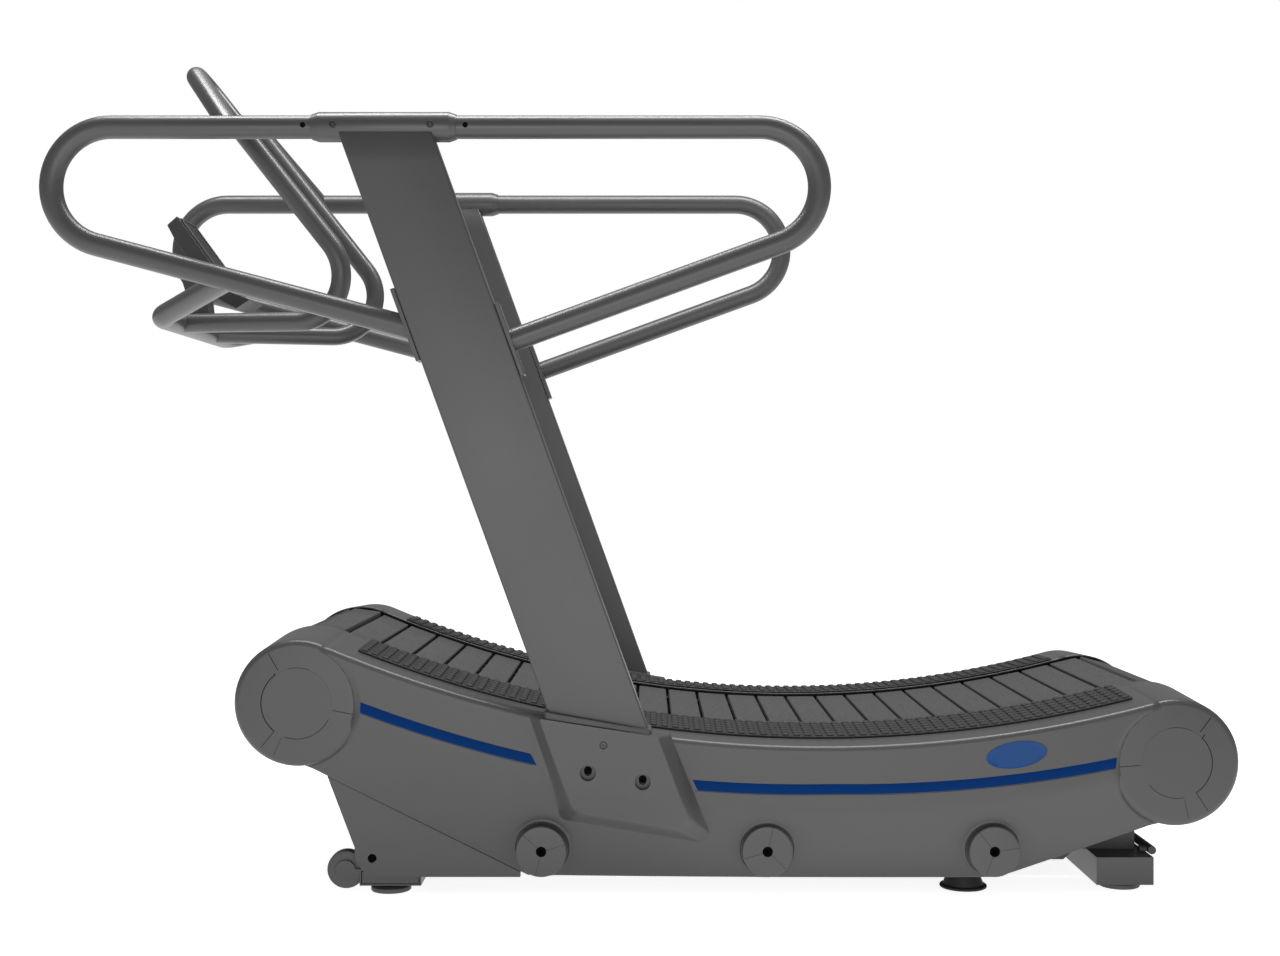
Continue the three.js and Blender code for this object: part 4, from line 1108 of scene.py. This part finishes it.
class TREADMILL_OT_tread_plates(Operator):
    """The rubber strips beside the belt with their rows of raised pads"""

    bl_idname = "treadmill.tread_plates"
    bl_label = "Tread Plates"

    def execute(self, context):
        sizes = context.scene.treadmill_sizes
        low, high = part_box("tread_plate_left")
        front, rear = low.x / MM - ORIGIN_X + 1, high.x / MM - ORIGIN_X - 1
        near, far, under, top = 236.0, 368.0, 1.4, 4.4

        def strip_height(y):
            return SHELL_LIFT * (SHELL_OUT - SHELL_EDGE - y) / 219.0

        turn = np.linspace(turn_at(front), turn_at(rear), 120)
        rings = []
        for y, out in ((near, under), (near, top - 0.8), (near + 0.8, top), (far - 0.8, top),
                       (far, top - 0.8), (far, under)):
            xz = dish_point(turn, strip_height(y) + out)
            rings.append(np.column_stack([xz[:, 0], np.full(len(turn), -y), xz[:, 1]]))
        strip = Surface().loft(np.stack(rings, 1))
        # The strip takes the darker black rubber, not the pads' tread rubber: painted shade in the gaps
        # between the pads.
        pair(strip, "tread_strip", "black_rubber", "tread_rubber", ["tread_plate"])
        pads = self.pads(mm(sizes.pad_length), mm(sizes.pad_width), mm(sizes.pad_height),
                         (turn[0], turn[-1]), (near, far), lambda y: strip_height(y) + top)
        pair(pads, "tread_pads", "tread_rubber", "tread_rubber")
        return {"FINISHED"}

    def pads(self, along, across, height, turns, reach, base):
        """Low pads with cut corners in six rows: an eight-sided base and a smaller top, set by their
        arc length along the dish and their distance from the middle."""
        columns, rows = int(DISH_R * (turns[1] - turns[0]) / 20.3), 6
        pitch = (reach[1] - reach[0]) / rows
        s = (np.arange(columns) + 0.5) / columns
        t = turns[0] + (turns[1] - turns[0]) * s
        y = reach[0] + pitch * (np.arange(rows) + 0.5)
        t, y = (v.ravel() for v in np.meshgrid(t, y, indexing="ij"))
        shape = rounded([[-0.5, -0.5], [0.5, -0.5], [0.5, 0.5], [-0.5, 0.5]], 0.22, 1)
        layers = []
        for scale, out in ((1.0, -0.6), (1.0, height * 0.55), (0.84, height)):
            a = t[:, None] + scale * along * shape[:, 0] / DISH_R
            w = y[:, None] + scale * across * shape[:, 1]
            xz = dish_point(a, base(w) + out)
            layers.append(np.stack([xz[..., 0], -w, xz[..., 1]], -1))
        points = np.stack(layers, 1)
        surface = Surface()
        for pad in points:
            surface.loft(pad)
        return surface


class TREADMILL_OT_running_belt(Operator):
    """The closed belt of slats on its two ribbons"""

    bl_idname = "treadmill.running_belt"
    bl_label = "Running Belt"

    def execute(self, context):
        rounding = mm(context.scene.treadmill_sizes.slat_rounding)
        slats = belt_slats(60, 59.0, 232.0, 12.0, 2.3, rounding)
        piece_from(slats, "belt_slats", "slat_rubber", "slat_rubber", stands_for=["running_belt"])
        pair(belt_ribbon(175.0, 30.0, -9.5, 8.0), "belt_ribbon", "black_rubber", "black_rubber")
        return {"FINISHED"}


class TREADMILL_OT_uprights(Operator):
    """The raked posts, the collars at their feet and the covers over the front legs"""

    bl_idname = "treadmill.uprights"
    bl_label = "Uprights"

    def execute(self, context):
        rounding = mm(context.scene.treadmill_sizes.post_rounding)
        section = rounded(
            [[0, POST_IN], [POST_LENGTH, POST_IN], [POST_LENGTH, POST_IN + POST_WIDTH],
             [0, POST_IN + POST_WIDTH]], rounding, 5)
        heights = np.concatenate([np.linspace(POST_FOOT, POST_TOP - 1.2, 24), [POST_TOP]])
        rings = []
        for z in heights:
            draw = 1.0 if z == POST_TOP else 0.0
            middle = section.mean(0)
            ring = middle + (section - middle) * (1 - draw / np.abs(section - middle).max(0))
            front = POST_TOP_X + POST_RAKE * (POST_TOP - z)
            rings.append(np.column_stack([front + ring[:, 0], -ring[:, 1], np.full(len(ring), z)]))
        post = Surface().loft(np.stack(rings))
        pair(post, "post", "grey_paint", "grey_paint", ["upright"], sharp=50)
        self.collar()
        for side in SIDES:
            refined(f"leg_cover_{side}", "grey_paint", "grey_paint", "frame", 2.5)
        # A near-black disc flush with the leg cover: painted shade of a hole.
        plug = [(0, 383), (7.9, 383), (7.9, 386), (0, 386)]
        pair(Surface().add(*turned(plug, (-487, 0, 68), 1, 24, -1.0)), "leg_hole_shade", "hole", "steel")
        return {"FINISHED"}

    def collar(self):
        """A thin flange round the post's foot that follows the shell's top edge."""
        inner, outer = POST_IN - 8.0, POST_IN + POST_WIDTH + 9.0
        ring = rounded([[-170, inner], [24, inner], [24, outer], [-170, outer]], 6.0, 5)
        z = 327.5 + (ring[:, 0] + 90.0) * -0.172
        layers = []
        for out, draw in ((-14.0, 0.0), (2.0, 0.0), (3.6, 0.7), (4.2, 2.0)):
            middle = ring.mean(0)
            scale = 1 - draw / np.abs(ring - middle).max(0)
            moved = middle + (ring - middle) * scale
            layers.append(np.column_stack([moved[:, 0], -moved[:, 1], z + out]))
        surface = Surface().loft(np.stack(layers))
        pair(surface, "post_collar", "grey_paint", "grey_paint")


class TREADMILL_OT_hand_rails(Operator):
    """The looped hand rails with their end plates, and the sleeves that join them"""

    bl_idname = "treadmill.hand_rails"
    bl_label = "Hand Rails"

    def execute(self, context):
        sides = context.scene.treadmill_sizes.tube_sides
        rails = {
            "front": (-1.0, -414.0, 1036.0, math.tan(math.radians(14.8)), (976.0, 1106.0)),
            "rear": (1.0, -236.0, 1010.0, math.tan(math.radians(20.0)), (947.0, 1077.0)),
        }
        for name, (facing, x, z, slope, plate) in rails.items():
            corner = x + facing * (RAIL_Z - z) / slope + (2.0 if facing < 0 else 0.0)
            ahead = -5.0 if facing < 0 else 6.0
            end = (x + facing * ahead, -RAIL_Y, z + ahead * slope)
            corners = [(-460 + facing * 0.5, -RAIL_Y, RAIL_Z), (corner, -RAIL_Y, RAIL_Z), end]
            tube = swept(bent_route(corners, [RAIL_BEND]), circle(RAIL_R, sides), (0, 1, 0))
            pair(Surface().loft(tube), f"rail_{name}",
                 "grey_paint", "grey_paint", [f"handrail_{name}"])
            pair(self.plate(plate, facing), f"rail_plate_{name}", "grey_paint", "grey_paint",
                 modify=lambda piece: bevel(piece, 1.5))
        self.sleeves(sides)
        return {"FINISHED"}

    def plate(self, span, facing):
        """A flat plate that lies on the post's raked edge."""
        rake = math.atan(POST_RAKE)
        middle = (span[0] + span[1]) / 2
        x = POST_TOP_X + POST_RAKE * (POST_TOP - middle) + (POST_LENGTH if facing > 0 else 0)
        half = (span[1] - span[0]) / 2 / math.cos(rake)
        out = np.array([math.cos(rake), math.sin(rake)]) * facing
        up = np.array([-math.sin(rake), math.cos(rake)])
        rows = []
        for y in (RAIL_Y - 24.5, RAIL_Y + 24.5):
            corners = [
                np.array([x, middle]) + out * (0.3 + d) + up * h
                for d, h in ((0, -half), (8, -half), (8, half), (0, half))
            ]
            rows.append(np.array([[cx, -y, cz] for cx, cz in corners]))
        return Surface().loft(np.stack(rows))

    def sleeves(self, sides):
        """Turned sleeves with chamfered ends and two cap screws on each rail, and two near-black discs that
        paint the shade of two holes.
        """
        low, high = -591.0, -329.0
        profile = [(21.4, low), (22.2, low), (22.8, low + 0.6), (26.6, low + 12.0), (27.0, low + 13.0),
                   (27.0, high - 13.0), (26.6, high - 12.0), (22.8, high - 0.6), (22.2, high),
                   (21.4, high), (21.4, low)]
        sleeve = Surface().add(*turned(profile, (0, -RAIL_Y, RAIL_Z), 0, 64))
        pair(sleeve, "sleeve", "grey_paint", "grey_paint", ["rail_sleeve"], sharp=22)
        screws = Surface()
        for x in (-549.0, -374.0):
            screws.add(*socket_head(x, RAIL_Z, RAIL_Y + 26.2, 6.5, 2.4, 3.2))
        pair(screws, "sleeve_screws", "black_rubber", "steel")
        # Near-black discs flush with the rail: painted shade of two holes.
        hole_shades = Surface()
        for x in (-604.0, -311.5):
            hole_shades.add(*turned([(0, 436), (5, 436), (5, 440.9), (4.6, 441.1), (0, 441.1)],
                              (x, 0, RAIL_Z), 1, 24, -1.0))
        pair(hole_shades, "rail_hole_shades", "hole", "steel")


class TREADMILL_OT_push_handles(Operator):
    """The front crossbar and the two bent push handles that rise from it"""

    bl_idname = "treadmill.push_handles"
    bl_label = "Push Handles"

    def execute(self, context):
        sides = context.scene.treadmill_sizes.tube_sides
        end_z = 1036.0 + (-414.0 + 745.0) * math.tan(math.radians(14.8))
        corners = [(-745, -420, end_z), (-916, -245, 1072), (-916, 245, 1072), (-745, 420, end_z)]
        bar = swept(bent_route(corners, [60.0, 60.0]), circle(RAIL_R, sides), (0, 0, 1))
        piece_from(Surface().loft(bar), "crossbar",
                   "grey_paint", "grey_paint", stands_for=["console_crossbar"])
        corners = [(-905, -122.2, 1072), (-482, -207, 1070), (-885, -207, 1582.3), (-740, -420, 1399)]
        handle = swept(bent_route(corners, [93.0, 42.0]), circle(HANDLE_R, sides), (0, 1, 0))
        pair(Surface().loft(handle), "handle",
             "grey_paint", "grey_paint", ["push_handle"])
        return {"FINISHED"}


class TREADMILL_OT_console(Operator):
    """The console's housing, bezel, screen, buttons and bracket"""

    bl_idname = "treadmill.console"
    bl_label = "Console"

    def execute(self, context):
        refined("console_housing", "console_plastic", "console_plastic", "frame", 4.0)
        refined("console_bracket", "grey_paint", "grey_paint", "frame", 2.0)
        refined("console_screen", "screen", "screen", "frame", 0.8)
        for place in ("left", "middle", "right"):
            node = f"console_button_{place}"
            refined(node, "black_rubber", "black_rubber", node, 0.9)
        self.bezel()
        return {"FINISHED"}

    def bezel(self):
        """A raised frame round the screen: a rounded section carried round a rounded rectangle, laid on
        the console's sloping face."""
        slope = math.radians(53.9)
        along = np.array([math.cos(slope), 0, -math.sin(slope)])
        out = np.array([math.sin(slope), 0, math.cos(slope)])
        origin = np.array([-939.0, 0, 1296.0])
        rings = []
        section = ((0.0, 0.4), (0.0, 4.4), (1.0, 5.2), (4.0, 5.2), (6.0, 4.0), (6.6, -1.0), (0.0, -1.0))
        for grow, height in section:
            low, high = 12 - 0.5 - grow, 124 + 0.5 + grow
            half = 48.5 + grow
            ring = rounded([[low, -half], [high, -half], [high, half], [low, half]], 3 + grow, 5)
            rings.append(origin + ring[:, :1] * along + ring[:, 1:] * np.array([0, 1.0, 0]) + out * height)
        surface = Surface().grid(np.stack(rings), wrap=(True, True))
        piece_from(surface, "console_bezel", "console_plastic", "console_plastic")


class TREADMILL_OT_floor_pieces(Operator):
    """Foot beams, lift bar, transport wheels and levelling feet"""

    bl_idname = "treadmill.floor_pieces"
    bl_label = "Floor Pieces"

    def execute(self, context):
        refined("front_foot_beam", "grey_paint", "grey_paint", "frame", 1.5)
        plug = Surface().loft(block((-508, -379.2, 18.5), (-403, -370, 41.5)))
        pair(plug, "foot_beam_plug", "grey_paint", "grey_paint", modify=lambda piece: bevel(piece, 1.5))
        refined("rear_foot_beam", "grey_paint", "grey_paint", "frame", 2.5)
        refined("lift_handle", "dark_paint", "dark_paint", "frame", 1.0)
        for side in SIDES:
            self.wheel(side)
            for end in ("front", "middle", "rear"):
                self.foot(end, side)
        return {"FINISHED"}

    def wheel(self, side):
        """A moulded wheel with a rounded tread, a recessed web and a hub on each face."""
        node = f"transport_wheel_{side}"
        x, y, z = box_centre(node)
        x -= ORIGIN_X
        low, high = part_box(node)
        radius, half = (high.x - low.x) / 2 / MM, (high.y - low.y) / 2 / MM
        tread = [(radius - 3, -half), (radius - 1, -half + 1), (radius, -half + 4), (radius, half - 4),
                 (radius - 1, half - 1), (radius - 3, half)]
        face = [(14, half), (13.4, half - 0.8), (13.4, half - 2.5), (12.2, half - 2.5),
                (12.2, half - 0.8), (11.6, half), (9.2, half), (8.7, half - 0.5)]
        back = [(r, -h) for r, h in face[::-1]]
        profile = [*back, *tread, *face]
        profile.append(profile[0])
        surface = Surface().add(*turned(profile, (x, y, z), 1, 64))
        piece_from(surface, f"wheel_{side}", "grey_rubber", "black_rubber", body=node,
                   stands_for=[node], sharp=28)

    def foot(self, end, side):
        """A turned foot: pad with a soft rim, collar or cone, and a threaded stem in fine rings."""
        node = f"{end}_foot_{side}"
        x, y, _ = box_centre(node)
        low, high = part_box(node)
        x, radius, top = x - ORIGIN_X, (high.x - low.x) / 2 / MM, high.z / MM
        if end == "middle":
            body = [(radius - 1, 0), (radius, 1.2), (radius, 3.6), (radius - 1.4, 5), (radius - 6, 6),
                    (30, 26), (28, 31), (26.5, 33), (8, 33)]
        else:
            body = [(radius - 1.5, 0), (radius, 1.6), (radius, 7.4), (radius - 1.5, 9), (radius - 6, 9.6),
                    (radius - 8, 11), (8, 11.5)]
        start = body[-1][1]
        rings = np.arange(start + 1, top - 1, 1.25)
        thread = [(7.9 if k % 2 else 7.1, h) for k, h in enumerate(rings)]
        profile = [(0, 0), *body, *thread, (6.8, top), (0, top)]
        surface = Surface().add(*turned(profile, (x, y, 0), 2, 48))
        finish = "black_rubber" if end == "middle" else "grey_rubber"
        piece_from(surface, f"foot_{end}_{side}", finish, "black_rubber", body=node,
                   stands_for=[node], sharp=28)


class TREADMILL_PT_panel(Panel):
    """Buttons and settings for each group of pieces"""

    bl_idname = "TREADMILL_PT_panel"
    bl_label = "Treadmill"
    bl_space_type = "VIEW_3D"
    bl_region_type = "UI"
    bl_category = "Treadmill"

    def draw(self, context):
        for operator in OPERATORS:
            self.layout.operator(operator.bl_idname)
        for group in ("treadmill_look", "treadmill_sizes", "treadmill_stage"):
            settings = getattr(context.scene, group)
            column = self.layout.column()
            for key in settings.bl_rna.properties.keys():
                if key not in ("rna_type", "name"):
                    column.prop(settings, key)


OPERATORS = (
    TREADMILL_OT_stage,
    TREADMILL_OT_inner_frame,
    TREADMILL_OT_side_shells,
    TREADMILL_OT_trim,
    TREADMILL_OT_tread_plates,
    TREADMILL_OT_running_belt,
    TREADMILL_OT_uprights,
    TREADMILL_OT_hand_rails,
    TREADMILL_OT_push_handles,
    TREADMILL_OT_console,
    TREADMILL_OT_floor_pieces,
)
GROUPS = (TreadmillLook, TreadmillSizes, TreadmillStage)


def register():
    for item in (*GROUPS, *OPERATORS, TREADMILL_PT_panel):
        bpy.utils.register_class(item)
    bpy.types.Scene.treadmill_look = PointerProperty(type=TreadmillLook)
    bpy.types.Scene.treadmill_sizes = PointerProperty(type=TreadmillSizes)
    bpy.types.Scene.treadmill_stage = PointerProperty(type=TreadmillStage)


def unregister():
    del bpy.types.Scene.treadmill_stage
    del bpy.types.Scene.treadmill_sizes
    del bpy.types.Scene.treadmill_look
    for item in reversed((*GROUPS, *OPERATORS, TREADMILL_PT_panel)):
        bpy.utils.unregister_class(item)


def main():
    """Registers the classes and builds everything in order."""
    register()
    for operator in OPERATORS:
        group, name = operator.bl_idname.split(".")
        getattr(getattr(bpy.ops, group), name)()


if __name__ == "__main__":
    main()
